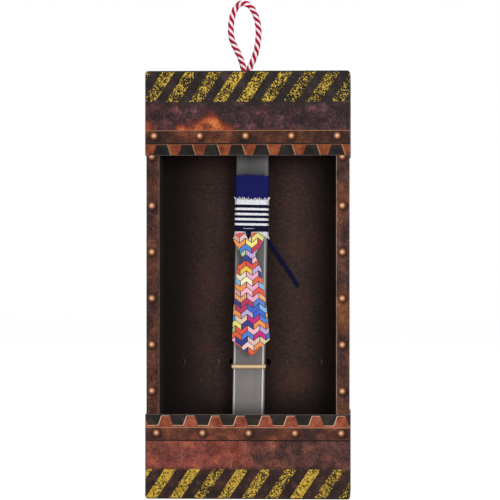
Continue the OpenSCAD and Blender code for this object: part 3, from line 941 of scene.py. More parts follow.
@dataclass(frozen=True)
class ZigzagPrint(Finish):
    """Satin colour print on a thin plate: a plain zigzag of slanted tiles in many colours with fine dark
    outlines. The eye gets bright mixed tiles, some of them hatched."""

    column: float = 4.6
    row: float = 4.1
    slant: float = 0.78
    outline: float = 0.3
    ink: str = "2a2029"
    ink_relief: float = -0.03
    hatch: float = 1.5
    hatched: float = 0.45
    hatch_tone: str = "5a4a62"
    seed: float = 7.0
    dyes: tuple[str, ...] = (
        "3f63c8", "f4ecc6", "e8663a", "e7a7bd", "eec04a", "c92f55", "7fb2dc", "f1cfc6", "2f3a86",
        "ee9354", "c7b3de", "c42a7a", "efe07c", "e4a893", "f0b9c4", "a9cc93", "4f86d0", "df5145",
        "f2a86e", "f0dcae")

    def look(self, n: NodeMaker) -> Look:
        """Draws the tiles.

        Args:
            n: Adds a node to the material's tree.

        Returns:
            Base Color and Height sockets.
        """
        spot = turned(n, PENDANT_HINGE, PENDANT_TILT, False)
        x, _, z = n("SeparateXYZ", spot).node.outputs
        shifted = n("Math", x, self.column / 2, operation="ADD")
        fold = n("Math", shifted, self.column, operation="PINGPONG")
        slid = n("Math", fold, self.slant, z, operation="MULTIPLY_ADD")
        rows = n("Math", slid, self.row, operation="DIVIDE")
        level = n("Math", rows, operation="FLOOR")
        odd = n("Math", level, 2.0, operation="FLOORED_MODULO")
        steps = n("Math", odd, self.column, shifted, operation="MULTIPLY_ADD")
        steps = n("Math", steps, 2 * self.column, operation="DIVIDE")
        tile = n("CombineXYZ", n("Math", steps, operation="FLOOR"), level, self.seed)
        pick = n("TexWhiteNoise", tile, noise_dimensions="3D")
        shares = tuple((i / len(self.dyes), dye) for i, dye in enumerate(self.dyes))
        colour = n("ValToRGB", pick, stops=shares)
        colour.node.color_ramp.interpolation = "CONSTANT"
        lines = []
        for share, edge in ((rows, self.outline / self.row), (steps, self.outline / self.column / 2)):
            middle = n("Math", n("Math", share, operation="FRACT"), 0.5, operation="SUBTRACT")
            off = n("Math", middle, operation="ABSOLUTE")
            lines.append(n("Math", off, 0.5 - edge, operation="GREATER_THAN"))
        drawn = n("Math", *lines, operation="MAXIMUM")
        # The hatch is drawn coarser than a printed screen, so that it shows
        wave = n("Math", n("Math", x, 2 * math.pi / self.hatch, operation="MULTIPLY"), operation="SINE")
        faint = n("MapRange", wave, 0.1, 0.8, 0.0, 0.5)
        some = n("Math", n("Math", pick, 7.0, operation="MULTIPLY"), operation="FRACT")
        some = n("Math", some, 1 - self.hatched, operation="GREATER_THAN")
        faint = n("Math", faint, some, operation="MULTIPLY")
        colour = stack(n, colour, [(faint, self.hatch_tone), (drawn, self.ink)])
        return {"Base Color": colour, "Height": n("Math", drawn, self.ink_relief, operation="MULTIPLY")}


def seen_white(n: NodeMaker) -> Socket:
    """Marks the rays that bring the surround to the eye: straight, mirrored or through glass.

    Args:
        n: Adds a node to the tree.

    Returns:
        1 for such a ray and 0 for one that carries light.
    """
    rays = n("LightPath").node.outputs
    seen = rays["Is Camera Ray"]
    for name in ("Is Glossy Ray", "Is Transmission Ray"):
        seen = n("Math", seen, rays[name], operation="MAXIMUM")
    return seen


@dataclass(frozen=True)
class WhiteFloor(Finish):
    """Plain white paper sweep. The camera sees it as white, and it keeps the carton's shadow."""

    cloud: float = 40.0
    tones: Ramp = ((0.3, "f4f4f4"), (0.7, "f7f7f7"))
    lift: float = 0.7

    def look(self, n: NodeMaker) -> Look:
        """Draws faint paper tone and lets the camera see white.

        Args:
            n: Adds a node to the material's tree.

        Returns:
            Base Color and Emission sockets.
        """
        tone = n("TexNoise", n("TexCoord", out="Object"), {"Scale": 1 / (self.cloud * MM)})
        colour = n("ValToRGB", tone, stops=self.tones)
        lift = n("Math", seen_white(n), self.lift, operation="MULTIPLY")
        return {"Base Color": colour, "Emission Color": "ffffff", "Emission Strength": lift}


# The top cap is dark iron and purple rust, and the bottom one is redder and lighter
TOP_PRINT = CapPrint("top_cap_printed_board", 0.5, 0.1)
BOTTOM_PRINT = CapPrint(
    "bottom_cap_printed_board", 0.5, 0.1, end=CapEnd.BOTTOM, open_z=63.5,
    tooth_pitch=18.85, tooth_shift=-5.1, tooth_tip=6.0, tooth_base=11.2, tooth_from=1.1,
    tooth_line="e2bd9f", flank_half=0.27, tip_half=0.14, root_line="d4ab8e", root_half=0.2,
    tooth_tones=((0.38, "663123"), (0.5, "8f4935"), (0.62, "b3684d")),
    gap_tones=((0.38, "1a1615"), (0.5, "26211f"), (0.64, "3c3533")),
    strip_low=10.0, strip_high=19.4, strip_lines=((9.85, 0.26, "a67c66"), (19.5, 0.45, "170f0e")),
    strip_cool=((0.36, "271918"), (0.5, "462b25"), (0.64, "744533")),
    strip_warm=((0.36, "41241d"), (0.5, "713d2c"), (0.64, "9d5b41")),
    rivet_pitch=34.7, rivet_shift=0.95, rivet_h=13.9,
    stripe_from=41.0, stripe_pitch=18.1, stripe_w=8.8, stripe_shift=5.7,
    bare=(0.48, 0.52), bare_spread=0.07,
    paint=((0.42, "b69236"), (0.56, "d5af40"), (0.7, "ebcd5b")),
    iron=((0.36, "1b1413"), (0.52, "332421"), (0.66, "684137")), iron_fade=2.0,
    cool=((0.36, "281a1b"), (0.47, "432b29"), (0.55, "623c35"), (0.66, "8c5342")),
    warm=((0.36, "582b29"), (0.47, "82423a"), (0.55, "9d5140"), (0.66, "be6f53")),
    glow_reach=(5.0, 22.0), glow_at=(0.54, 0.72), warm_tilt=-0.002, drift=(50.0, 0.0, 0.0),
    spark="cf8f78")
# The left rim is darker than the right one, and less worn along its fold. Its inner wall is painted
# lighter than the right one's, as painted light from the right
LEFT_RIM_PRINT = RimPrint(
    "left_rim_printed_board", 0.5, 0.1, side=-1.0, middle=72.0, fold_tone="6d625a", fold_worn=0.6,
    cool=((0.36, "181011"), (0.48, "2e1c1d"), (0.58, "452a28"), (0.67, "5d3c36")),
    warm=((0.36, "271712"), (0.48, "43261d"), (0.58, "5e392b"), (0.67, "7a4f3d")),
    wall_cool="161413", wall_pale="302c29")
RIGHT_RIM_PRINT = RimPrint("right_rim_printed_board", 0.5, 0.1)
CARD = DarkCard("dark_printed_card", 0.75, 0.06)
# The back has neither punched edges nor discs, and a plain brown print outside
BACK_BOARD = DarkCard("back_printed_board", 0.6, 0.08, outside_y=19.3, hole_y=-99.0, disc_gleam=0.0)
WAX = ScrapedWax("scraped_grey_paraffin", 0.4, 0.35)
# The ribbon's dye nearly hides its weave, and hairs in a lighter blue soften its outline
RIBBON = Cloth("blue_cotton_ribbon", 0.9, 0.05, ground="1f2060", shadow="17184a", dyed=0.0, thread=0.7)
FUZZ = Fibre("blue_ribbon_fuzz", 0.9, 0.05, light="292a70", dark="1a1b52")
# The striped cloth frays into its own white yarn
STRIPED = Cloth("striped_cotton_cloth", 0.85, 0.1)
FRINGE = Fibre("frayed_cotton_thread", 0.85, 0.1, light="ffffff", dark="e4e0df")
# Suede is nearly black in the hollows of its nap, with a faint sheen on the tips
SUEDE = Fibre("navy_suede_lace", 0.9, 0.06, 0.05, light="14163a", dark="070818", relief=0.14)
# The loop's strands show long fibres, and the white ones take a little of the red dye
RED_STRAND = Fibre("red_twisted_cotton", 0.8, 0.1, light="bc1034", dark="8a0a27", grain=(0.5, 0.5, 1.4))
WHITE_STRAND = Fibre(
    "white_twisted_cotton", 0.8, 0.1, 0.5, light="fff4f6", dark="f8dfe6", grain=(0.5, 0.5, 1.4))
# The wick's cotton is cream, and a little glossy with wax
WICK = Fibre("waxed_cotton_wick", 0.6, 0.4, light="efe9da", dark="cfc4ab", grain=(0.4, 0.4, 1.0))
ELASTIC = Elastic("beige_covered_elastic", 0.75, 0.15)
# The tie's plate is smooth white card, its fibres barely raised
PLATE = Fibre("white_card_plate", 0.45, 0.3, light="eeecea", dark="dcd8d4", relief=0.02)
TILES = ZigzagPrint("zigzag_printed_face", 0.42, 0.2)
FLOOR = WhiteFloor("white_paper_floor", 0.9, 0.1)


# Mesh helpers


@dataclass(frozen=True)
class Piece:
    """What a new piece is: its name, body, record slot, CAD nodes it stands for and finishes."""

    name: str
    body: str
    slot: str
    nodes: tuple[str, ...]
    finishes: tuple[Finish, ...]

    def put(
        self, bm: bmesh.types.BMesh, place: Matrix | None = None, sharp: float = 40.0
    ) -> bpy.types.Object:
        """Turns a mesh into this piece.

        Args:
            bm: The mesh, in millimetres, which is freed here.
            place: Where it goes in the frame, in millimetres.
            sharp: The angle in degrees past which an edge stays sharp.

        Returns:
            The piece at the origin, in metres, riding on its body.
        """
        bmesh.ops.transform(bm, matrix=Matrix.Scale(MM, 4) @ (place or Matrix()), verts=bm.verts)
        mesh = bpy.data.meshes.new(self.name)
        bm.to_mesh(mesh)
        bm.free()
        mesh.shade_smooth()
        mesh.set_sharp_from_angle(angle=math.radians(sharp))
        piece = bpy.data.objects.new(self.name, mesh)
        bpy.context.scene.collection.objects.link(piece)
        for finish in self.finishes:
            mesh.materials.append(finish.make())
        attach(piece, self.body)
        if self.nodes:
            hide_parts(*self.nodes)
        LOG.info("%s: %d faces on %s", self.name, len(mesh.polygons), self.body)
        return piece


def smooth_route(points: Line, steps: int) -> list[Vector]:
    """Draws a smooth curve through a route's points, as the part's source does.

    Args:
        points: The route.
        steps: Steps between neighbouring points.

    Returns:
        The points of the curve.
    """
    last = len(points) - 1
    curve = []
    for i in range(last):
        a, b, c, d = (points[min(max(k, 0), last)] for k in (i - 1, i, i + 1, i + 2))
        for t in (k / steps for k in range(steps)):
            square = 2 * a - 5 * b + 4 * c - d
            cube = 3 * b - a - 3 * c + d
            curve.append(0.5 * (2 * b + (c - a) * t + square * t**2 + cube * t**3))
    return [*curve, points[last].copy()]


def route_frames(route: Line) -> list[Matrix]:
    """Stands a frame on each point of a route, z ahead and y kept as near to the depth as it can be.

    Args:
        route: The route's points.

    Returns:
        One placing matrix for each point.
    """
    frames = []
    for i, spot in enumerate(route):
        ahead = (route[min(i + 1, len(route) - 1)] - route[max(i - 1, 0)]).normalized()
        side = Vector((0.0, 1.0, 0.0)) if abs(ahead.y) < 0.9 else Vector((0.0, 0.0, 1.0))
        across = side.cross(ahead).normalized()
        turn = Matrix((across, ahead.cross(across), ahead)).transposed()
        frames.append(Matrix.Translation(spot) @ turn.to_4x4())
    return frames


def twist(route: Line, strands: int, offset: float, pitch: float) -> list[list[Vector]]:
    """Lays strands round a route as an S-laid cord.

    Args:
        route: The cord's middle line, its points close together.
        strands: How many strands there are.
        offset: Distance from the middle line to a strand's middle.
        pitch: Length of one full turn along the cord.

    Returns:
        The middle line of each strand.
    """
    lines: list[list[Vector]] = [[] for _ in range(strands)]
    run = 0.0
    for i, place in enumerate(route_frames(route)):
        run += (route[i] - route[max(i - 1, 0)]).length
        for k, line in enumerate(lines):
            angle = 2 * math.pi * (k / strands - run / pitch)
            line.append(place @ Vector((offset * math.cos(angle), offset * math.sin(angle), 0.0)))
    return lines


def threads(
    lines: Sequence[Line], radius: float, rounds: int = 1, taper: float = 1.0
) -> bmesh.types.BMesh:
    """Makes round threads along lines.

    Args:
        lines: The middle line of each thread.
        radius: The threads' radius.
        rounds: The curve's bevel resolution.
        taper: The radius at a thread's end as a share of that at its start.

    Returns:
        The threads as one mesh.
    """
    curve = bpy.data.curves.new("threads", "CURVE")
    curve.dimensions = "3D"
    curve.bevel_depth = radius
    curve.bevel_resolution = rounds
    curve.use_fill_caps = True
    for line in lines:
        spline = curve.splines.new("POLY")
        spline.points.add(len(line) - 1)
        for k, (point, spot) in enumerate(zip(spline.points, line)):
            point.co = (*spot, 1.0)
            point.radius = 1 + (taper - 1) * k / (len(line) - 1)
    holder = bpy.data.objects.new("threads", curve)
    mesh = bpy.data.meshes.new_from_object(holder)
    bm = bmesh.new()
    bm.from_mesh(mesh)
    bpy.data.objects.remove(holder)
    bpy.data.curves.remove(curve)
    bpy.data.meshes.remove(mesh)
    return bm


def join(bm: bmesh.types.BMesh, extra: bmesh.types.BMesh, finish: int = 0) -> bmesh.types.BMesh:
    """Adds a second mesh to a first one and frees the second.

    Args:
        bm: The first mesh.
        extra: The second mesh.
        finish: Which of the piece's finishes the second mesh takes.

    Returns:
        The first mesh with the second in it.
    """
    for face in extra.faces:
        face.material_index = finish
    mesh = bpy.data.meshes.new("extra")
    extra.to_mesh(mesh)
    extra.free()
    bm.from_mesh(mesh)
    bpy.data.meshes.remove(mesh)
    return bm


def plate(width: float, depth: float, corner: float, segments: int) -> bmesh.types.BMesh:
    """Makes one flat face with round corners, centred on the origin.

    Args:
        width: Size along x.
        depth: Size along y.
        corner: Corner radius.
        segments: Steps in each corner.

    Returns:
        The face as a mesh.
    """
    bm = bmesh.new()
    bmesh.ops.create_grid(bm, x_segments=1, y_segments=1, size=0.5)
    bmesh.ops.scale(bm, vec=(width, depth, 1.0), verts=bm.verts)
    bmesh.ops.bevel(bm, geom=bm.verts, offset=corner, offset_type="OFFSET", affect="VERTICES",
                    segments=segments, profile=0.5, material=-1)
    return bm


def strip(route: Line, width: float, thick: float, corner: float) -> bmesh.types.BMesh:
    """Draws a flat strip along a route.

    Args:
        route: The strip's middle line.
        width: Width across the route.
        thick: Thickness along the depth.
        corner: Radius of the section's corners.

    Returns:
        The strip as a closed mesh.
    """
    bm = plate(width, thick, corner, segments=2)
    frames = route_frames(route)
    tip = bm.faces[:]
    bmesh.ops.transform(bm, matrix=frames[0], verts=bm.verts)
    for before, after in zip(frames, frames[1:]):
        tip = bmesh.ops.extrude_discrete_faces(bm, faces=tip)["faces"]
        bmesh.ops.transform(bm, matrix=after @ before.inverted(), verts=tip[0].verts)
    rim = [e for e in bm.edges if e.is_boundary]
    bmesh.ops.holes_fill(bm, edges=rim)
    bmesh.ops.recalc_face_normals(bm, faces=bm.faces)
    return bm


def band(
    size: Triple, corner: float, wall: float, rows: int, soft: float
) -> bmesh.types.BMesh:
    """Makes an upright band with round corners, its wall inside the given outline.

    Args:
        size: Outer width and depth, and the height from z = 0.
        corner: Outer corner radius.
        wall: Thickness of the wall.
        rows: Rows of faces up the band.
        soft: Radius that rounds its four rims.

    Returns:
        The band as a closed mesh.
    """
    width, depth, height = size
    bm = plate(width, depth, corner, segments=5)
    floor = list(bm.faces)
    # The straight sides are cut into short faces, so that they can be dented
    straight = [e for e in bm.edges if e.calc_length() > corner]
    bmesh.ops.subdivide_edges(bm, edges=straight, cuts=11)
    rim = list(bm.edges)
    for _ in range(rows):
        grown = bmesh.ops.extrude_edge_only(bm, edges=rim)["geom"]
        rim = [g for g in grown if isinstance(g, bmesh.types.BMEdge) and len(g.link_faces) == 1]
        raised = list({v for e in rim for v in e.verts})
        bmesh.ops.translate(bm, vec=(0.0, 0.0, height / rows), verts=raised)
    bmesh.ops.delete(bm, geom=floor, context="FACES_ONLY")
    bmesh.ops.recalc_face_normals(bm, faces=bm.faces)
    bmesh.ops.solidify(bm, geom=list(bm.faces), thickness=wall)
    lips = [e for e in bm.edges if e.calc_face_angle(0.0) > RIM_TURN]
    bmesh.ops.bevel(bm, geom=lips, offset=soft, offset_type="OFFSET", affect="EDGES",
                    segments=2, profile=0.5, material=-1)
    return bm


def cad_copy(node: str) -> bmesh.types.BMesh:
    """Copies a CAD node's mesh and merges its loose triangles.

    Args:
        node: The CAD node's name.

    Returns:
        The merged mesh, in millimetres.
    """
    bm = bmesh.new()
    bm.from_mesh(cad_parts[node].data)
    bmesh.ops.scale(bm, vec=(1 / MM,) * 3, verts=bm.verts)
    bmesh.ops.remove_doubles(bm, verts=bm.verts, dist=0.01)
    bmesh.ops.dissolve_limit(bm, angle_limit=math.radians(1.0), verts=bm.verts, edges=bm.edges)
    bmesh.ops.recalc_face_normals(bm, faces=bm.faces)
    return bm


def overhand(radius: float, middle: Vector, stretch: Vector) -> bmesh.types.BMesh:
    """Ties a tight overhand knot.

    Args:
        radius: The knot's outer radius.
        middle: Where its middle is.
        stretch: How far the knot is drawn out along each axis.

    Returns:
        The knot as a mesh.
    """
    # The strand's middle runs along a flattened trefoil, and the strand fills the rest of the radius
    reach = 0.56 * radius
    strand_r = 0.44 * radius
    steps = 48
    line = []
    for a in (2 * math.pi * k / steps for k in range(steps + 1)):
        across = (math.sin(a) + 2 * math.sin(2 * a)) / 3
        upward = (math.cos(a) - 2 * math.cos(2 * a)) / 3
        line.append(reach * Vector((across, -0.8 * math.sin(3 * a), upward)))
    bm = threads([line], strand_r, 2)
    bmesh.ops.scale(bm, vec=stretch, verts=bm.verts)
    bmesh.ops.translate(bm, vec=middle, verts=bm.verts)
    return bm


# Sub-assemblies


@dataclass
class Studio:
    """Camera at the photograph's angle, soft lamps, a white floor and a white surround. Places are metres
    here, and each lamp has its place, its size and its power in watts."""

    lens: float = 113.2
    eye: Triple = (0.085, -1.1965, 0.1868)
    yaw: float = 1.68
    shift: float = -0.1298
    aim: Triple = (0.0, 0.0, 0.16)
    lamps: tuple[tuple[Triple, float, float], ...] = (
        ((-0.8, -1.1, 0.6), 0.6, 3.2), ((0.75, -1.15, 0.6), 0.6, 10.2), ((0.0, -0.6, 1.3), 0.7, 3.0))
    ambient: float = 0.26
    floor_half: float = 3.0

    def build_camera(self) -> None:
        """Makes the camera and sets the plain view transform."""
        scene = bpy.context.scene
        scene.view_settings.view_transform = "Standard"
        data = bpy.data.cameras.new("camera")
        data.lens = self.lens
        data.shift_x = self.shift
        camera = bpy.data.objects.new("camera", data)
        camera.location = self.eye
        camera.rotation_euler = (math.pi / 2, 0.0, math.radians(self.yaw))
        scene.collection.objects.link(camera)
        scene.camera = camera

    def build_light(self) -> None:
        """Hangs the lamps and gives the world a soft level, white to the camera."""
        for index, (spot, size, power) in enumerate(self.lamps):
            data = bpy.data.lights.new(f"lamp_{index}", "AREA")
            data.shape = "SQUARE"
            data.size = size
            data.energy = power
            lamp = bpy.data.objects.new(f"lamp_{index}", data)
            lamp.location = spot
            lamp.rotation_euler = (Vector(spot) - Vector(self.aim)).to_track_quat("Z", "Y").to_euler()
            bpy.context.scene.collection.objects.link(lamp)
        world = bpy.data.worlds.new("surround")
        world.use_nodes = True
        world.node_tree.nodes.clear()
        bpy.context.scene.world = world
        n = partial(add_node, world.node_tree)
        level = n("MapRange", seen_white(n), 0.0, 1.0, self.ambient, 1.0)
        n("OutputWorld", {"Surface": n("Background", {"Color": "ffffff", "Strength": level})})

    def build_floor(self) -> None:
        """Lays the floor under the carton."""
        bm = bmesh.new()
        bmesh.ops.create_grid(bm, x_segments=4, y_segments=4, size=self.floor_half)
        mesh = bpy.data.meshes.new("floor")
        bm.to_mesh(mesh)
        bm.free()
        mesh.materials.append(FLOOR.make())
        floor = bpy.data.objects.new("floor", mesh)
        bpy.context.scene.collection.objects.link(floor)


@dataclass
class HangingLoop:
    """Twisted red and white cord through the top cap, knotted inside it."""

    route: tuple[Pair, ...] = (
        (-3.9, -0.6), (-3.9, 1.6), (-4.7, 5), (-6, 9.4), (-8, 14.4), (-10.4, 19), (-12.6, 24),
        (-13.8, 29.4), (-14, 34.8), (-13.4, 40.2), (-12.2, 45.4), (-9.8, 50.2), (-6.6, 53), (-2.8, 53),
        (0.8, 50.8), (4, 46), (6, 40), (7, 34), (7, 28), (6.4, 22), (5.2, 16), (3.1, 10), (0.7, 5),
        (-0.1, 1.6), (-0.1, -0.6))
    cap_top: float = 321.255
    board: float = 0.6
    depth_y: float = -2.55
    diameter: float = 4.6
    pitch: float = 11.5
    red_r: float = 1.2
    white_r: float = 1.08
    knot_x: float = -1.55
    knot_h: float = 8.0
    knot_r: float = 5.8
    knot_turns: float = 1.75
    knot_steps: int = 48
    end: float = 5.0
    end_below: float = 0.2
    end_apart: float = 0.15
    end_steps: int = 24

    def lay(self, routes: Sequence[Line]) -> bmesh.types.BMesh:
        """Twists a fat red and a thin white pair of strands along each route.

        Args:
            routes: The middle lines of the cord.

        Returns:
            The strands as one mesh, red first and white second of its finishes.
        """
        bm = bmesh.new()
        for route in routes:
            strands = twist(route, 4, self.diameter / 2 - self.white_r, self.pitch)
            join(bm, threads(strands[::2], self.red_r, 2))
            join(bm, threads(strands[1::2], self.white_r, 2), 1)
        return bm

    def build_loop(self) -> None:
        points = [Vector((x, self.depth_y, self.cap_top + z)) for x, z in self.route]
        middle = smooth_route(points, steps=6)
        finishes = (RED_STRAND, WHITE_STRAND)
        loop = Piece("twisted_loop", "top_cap", "twisted_cord", ("hang_loop",), finishes)
        piece = loop.put(self.lay([middle]), sharp=STRAND_SHARP)

    def build_knot(self) -> None:
        """Winds the knot under the cap's end, with two cut ends below it."""
        top = self.cap_top - self.board
        reach = self.knot_r - self.diameter / 2
        middle = Vector((self.knot_x, self.depth_y, 0.0))
        coil = []
        for k in range(self.knot_steps + 1):
            angle = 2 * math.pi * self.knot_turns * k / self.knot_steps
            drop = self.diameter / 2 + (self.knot_h - self.diameter) * k / self.knot_steps
            coil.append(middle + Vector((reach * math.cos(angle), reach * math.sin(angle), top - drop)))
        routes = [coil]
        start = top - self.end_below
        fall = self.knot_h + self.end - self.end_below
        heights = [start - fall * k / self.end_steps for k in range(self.end_steps + 1)]
        for side in (-1, 1):
            x = self.knot_x + side * (self.diameter / 2 + self.end_apart)
            routes.append([Vector((x, self.depth_y, z)) for z in heights])
        finishes = (RED_STRAND, WHITE_STRAND)
        knot = Piece("loop_knot_wound", "top_cap", "twisted_cord", ("loop_knot",), finishes)
        knot.put(self.lay(routes), sharp=STRAND_SHARP)


@dataclass
class Carton:
    """The caps, rims, back and card, which keep their CAD shapes and take their prints, with the
    elastic."""

    prints: dict[str, Finish] = field(default_factory=lambda: {
        "bottom_cap": BOTTOM_PRINT, "top_cap": TOP_PRINT, "left_rim": LEFT_RIM_PRINT,
        "right_rim": RIGHT_RIM_PRINT, "tray_back": BACK_BOARD, "raised_card": CARD})
    elastic_at: Triple = (0.0, 5.5, 101.3)
    elastic_droop: float = 10.0
    elastic_half: float = 12.1
    elastic_front: float = -14.88
    elastic_back: float = 1.02
    elastic_t: float = 0.8
    elastic_w: float = 3.0
    elastic_corner: float = 0.35
    elastic_soft: float = 0.28
    elastic_knot_r: float = 2.0

    def dress(self) -> None:
        """Gives each CAD piece of the carton its print."""
        for node, finish in self.prints.items():
            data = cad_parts[node].data
            data.materials.clear()
            data.materials.append(finish.make())
            LOG.info("%s: CAD piece in %s", node, finish.name)

    def build_elastic(self) -> None:
        """Stretches the elastic round the candle and knots it behind the card."""
        t = self.elastic_t
        r = self.elastic_knot_r
        depth = self.elastic_back - self.elastic_front + 2 * t
        size = (2 * (self.elastic_half + t), depth, self.elastic_w)
        bm = band(size, self.elastic_corner + t, t, 1, self.elastic_soft)
        middle = (self.elastic_front + self.elastic_back) / 2
        bmesh.ops.translate(bm, vec=(0.0, middle, -self.elastic_w / 2), verts=bm.verts)
        join(bm, overhand(r, Vector((0.0, self.elastic_back + r, 0.0)), Vector((1.0, 1.0, 1.0))))
        droop = Matrix.Rotation(math.radians(self.elastic_droop), 4, "X")
        place = Matrix.Translation(self.elastic_at) @ droop
        Piece("elastic_round_candle", "tray", "elastic", ("elastic_band",), (ELASTIC,)).put(bm, place)


@dataclass
class Candle:
    """The wax bar with its cut edges, the wick, and the cloth and lace wound round it."""

    width: float = 23.5
    thick: float = 12.0
    length: float = 285.0
    base_z: float = 1.455
    chamfer: float = 2.0
    bar_chamfer: float = 1.3
    bar_swell: float = 0.4
    bar_sharp: float = 20.0
    ease: float = 0.4
    wick_r: float = 1.0
    wick_out: float = 12.0
    wick_sunk: float = 3.0
    wick_steps: int = 30
    wick_bend: float = 0.02
    wick_pitch: float = 6.0
    # How round a band's rims are by its wall, and how far its wall stays short of what it covers
    rim_share: float = 0.3
    wall_gap: float = 0.1
    # How fast an edge waves along its run
    wave_rate: float = 0.22
    ribbon_z: float = 205.0
    ribbon_h: float = 38.0
    ribbon_t: float = 0.3
    ribbon_gap: float = 0.05
    ribbon_flat: float = 67.3
    ribbon_swell: float = 0.45
    ribbon_free: Pair = (1.5, 5.5)
    ribbon_wave: float = 0.15
    wrap_z: float = 197.5
    wrap_h: float = 27.5
    wrap_t: float = 0.6
    wrap_flat: float = 70.3
    wrap_rib: float = 0.12
    wrap_frayed: float = 0.3
    wrap_wave: float = 0.26
    lace_z: float = 200.8
    lace_w: float = 3.2
    lace_t: float = 0.8
    lace_sink: float = 0.35
    lace_squeeze: float = 1.14
    squeeze_x: float = -1.8
    squeeze_half: float = 6.5
    lace_corner: float = 0.35
    tail: tuple[Pair, ...] = (
        (8.4, -1.2), (9.8, -3), (11.6, -5.4), (14.8, -10), (18.2, -15), (21.6, -20), (25, -25),
        (28.4, -30), (31.8, -35), (36.2, -41.4))
    tail_y: float = 7.45
    # Hairs and loose threads are drawn thicker than real ones, so that they show in the render
    root_in: float = 0.2
    fuzz_levels: tuple[float, ...] = (0.2, 0.3, 0.4, 1.6, 3.2, 5.0, 7.0, 9.0, 11.0, 13.0, 15.0)
    fuzz_edge: float = 1.0
    fuzz_stops: int = 110
    fuzz_r: float = 0.1
    fuzz_reach: Pair = (0.4, 1.0)
    fuzz_tall: float = 1.8
    fuzz_short: float = 0.7
    fringe_root: float = 0.4
    fringe_stops: int = 140
    fringe_gap: float = 0.2
    fringe_r: float = 0.25
    fringe_taper: float = 0.6
    fringe_reach: Pair = (1.0, 2.8)
    fray: random.Random = field(default_factory=lambda: random.Random(20))

    @property
    def place(self) -> Matrix:
        """The candle's frame: upright at the origin, then leaned about the elastic's height."""
        down = Matrix.Translation((0.0, 0.0, -CANDLE_PIVOT.z))
        return Matrix.Translation(CANDLE_PIVOT) @ Matrix.Rotation(CANDLE_LEAN, 4, "Y") @ down

    def build_tail(self) -> None:
        points = [Vector((x, self.tail_y, self.lace_z + z)) for x, z in self.tail]
        middle = smooth_route(points, steps=4)
        bm = strip(middle, self.lace_w, self.lace_t, self.lace_corner)
        tail = Piece("lace_free_end", "candle", "navy_lace", ("lace_tail",), (SUEDE,))
        piece = tail.put(bm, self.place)

    def build_wax(self) -> None:
        """Casts the bar, cuts its long edges and eases every corner."""
        bm = bmesh.new()
        bmesh.ops.create_cube(bm, size=1.0)
        bmesh.ops.scale(bm, vec=(self.width + self.bar_swell, self.thick, self.length), verts=bm.verts)
        bmesh.ops.translate(bm, vec=(0.0, 0.0, self.base_z + self.length / 2), verts=bm.verts)
        upright = [e for e in bm.edges if e.calc_length() > self.length / 2]
        for edges, offset, segments in ((upright, self.bar_chamfer, 1), (bm.edges, self.ease, 4)):
            bmesh.ops.bevel(bm, geom=edges, offset=offset, offset_type="OFFSET", affect="EDGES",
                            segments=segments, profile=0.5, material=-1)
        Piece("wax_bar", "candle", "grey_wax", ("candle_wax",), (WAX,)).put(bm, self.place, self.bar_sharp)

    def build_wick(self) -> None:
        """Twists the wick out of three waxed strands, with a slight bend above the wax."""
        low = self.base_z + self.length - self.wick_sunk
        rise = (self.wick_out + self.wick_sunk) / self.wick_steps
        bends = [self.wick_bend * max(k - 3, 0) ** 1.6 for k in range(self.wick_steps + 1)]
        route = [Vector((bend, 0.0, low + rise * k)) for k, bend in enumerate(bends)]
        # Three strands that touch just fill a round wick 2.15 times as thick as one of them
        strand_r = self.wick_r / 2.15
        bm = threads(twist(route, 3, self.wick_r - strand_r, self.wick_pitch), strand_r, 2)
        wick = Piece("twisted_wick", "candle", "cotton_wick", ("wick",), (WICK,))
        wick.put(bm, self.place, STRAND_SHARP)

    def wound(self, off: float, wall: float, z0: float, height: float, rows: int) -> bmesh.types.BMesh:
        """Winds a band round the candle.

        Args:
            off: Distance of its outer face from the wax.
            wall: The band's thickness.
            z0: Its lower edge.
            height: Its height.
            rows: Rows of faces up the band.

        Returns:
            The band as a closed mesh in the candle's frame.
        """
        size = (self.width + 2 * off, self.thick + 2 * off, height)
        bm = band(size, self.chamfer + CUT_GROWTH * off, wall, rows, self.rim_share * wall)
        bmesh.ops.translate(bm, vec=(0.0, 0.0, z0), verts=bm.verts)
        return bm

    def outline(self, off: float, count: int) -> list[tuple[Vector, Vector]]:
        """Walks round the candle at a distance from the wax.

        Args:
            off: Distance from the wax.
            count: How many stops the walk has.

        Returns:
            A point and its outward direction for each stop, at height 0.
        """
        half = Vector((self.width / 2 + off, self.thick / 2 + off, 0.0))
        cut = self.chamfer + CUT_GROWTH * off
        stops = []
        for k in range(count):
            angle = 2 * math.pi * k / count
            ray = Vector((math.cos(angle) * half.x, math.sin(angle) * half.y, 0.0))
            grow = min(half.x / max(abs(ray.x), 1e-6), half.y / max(abs(ray.y), 1e-6))
            corner = (half.x + half.y - cut) / max(abs(ray.x) + abs(ray.y), 1e-6)
            spot = ray * min(grow, corner)
            if corner < grow:
                away = Vector((math.copysign(0.707, ray.x), math.copysign(0.707, ray.y), 0.0))
            elif abs(ray.x) / half.x > abs(ray.y) / half.y:
                away = Vector((math.copysign(1.0, ray.x), 0.0, 0.0))
            else:
                away = Vector((0.0, math.copysign(1.0, ray.y), 0.0))
            stops.append((spot, away))
        return stops

    def build_ribbon(self) -> None:
        """Winds the plain ribbon on and roughens its upper edge."""
        off = self.ribbon_t
        top = self.wrap_z + self.wrap_h
        pressed, loose = self.ribbon_free
        bm = self.wound(off, off - self.ribbon_gap, self.ribbon_z, self.ribbon_h, rows=38)
        for v in bm.verts:
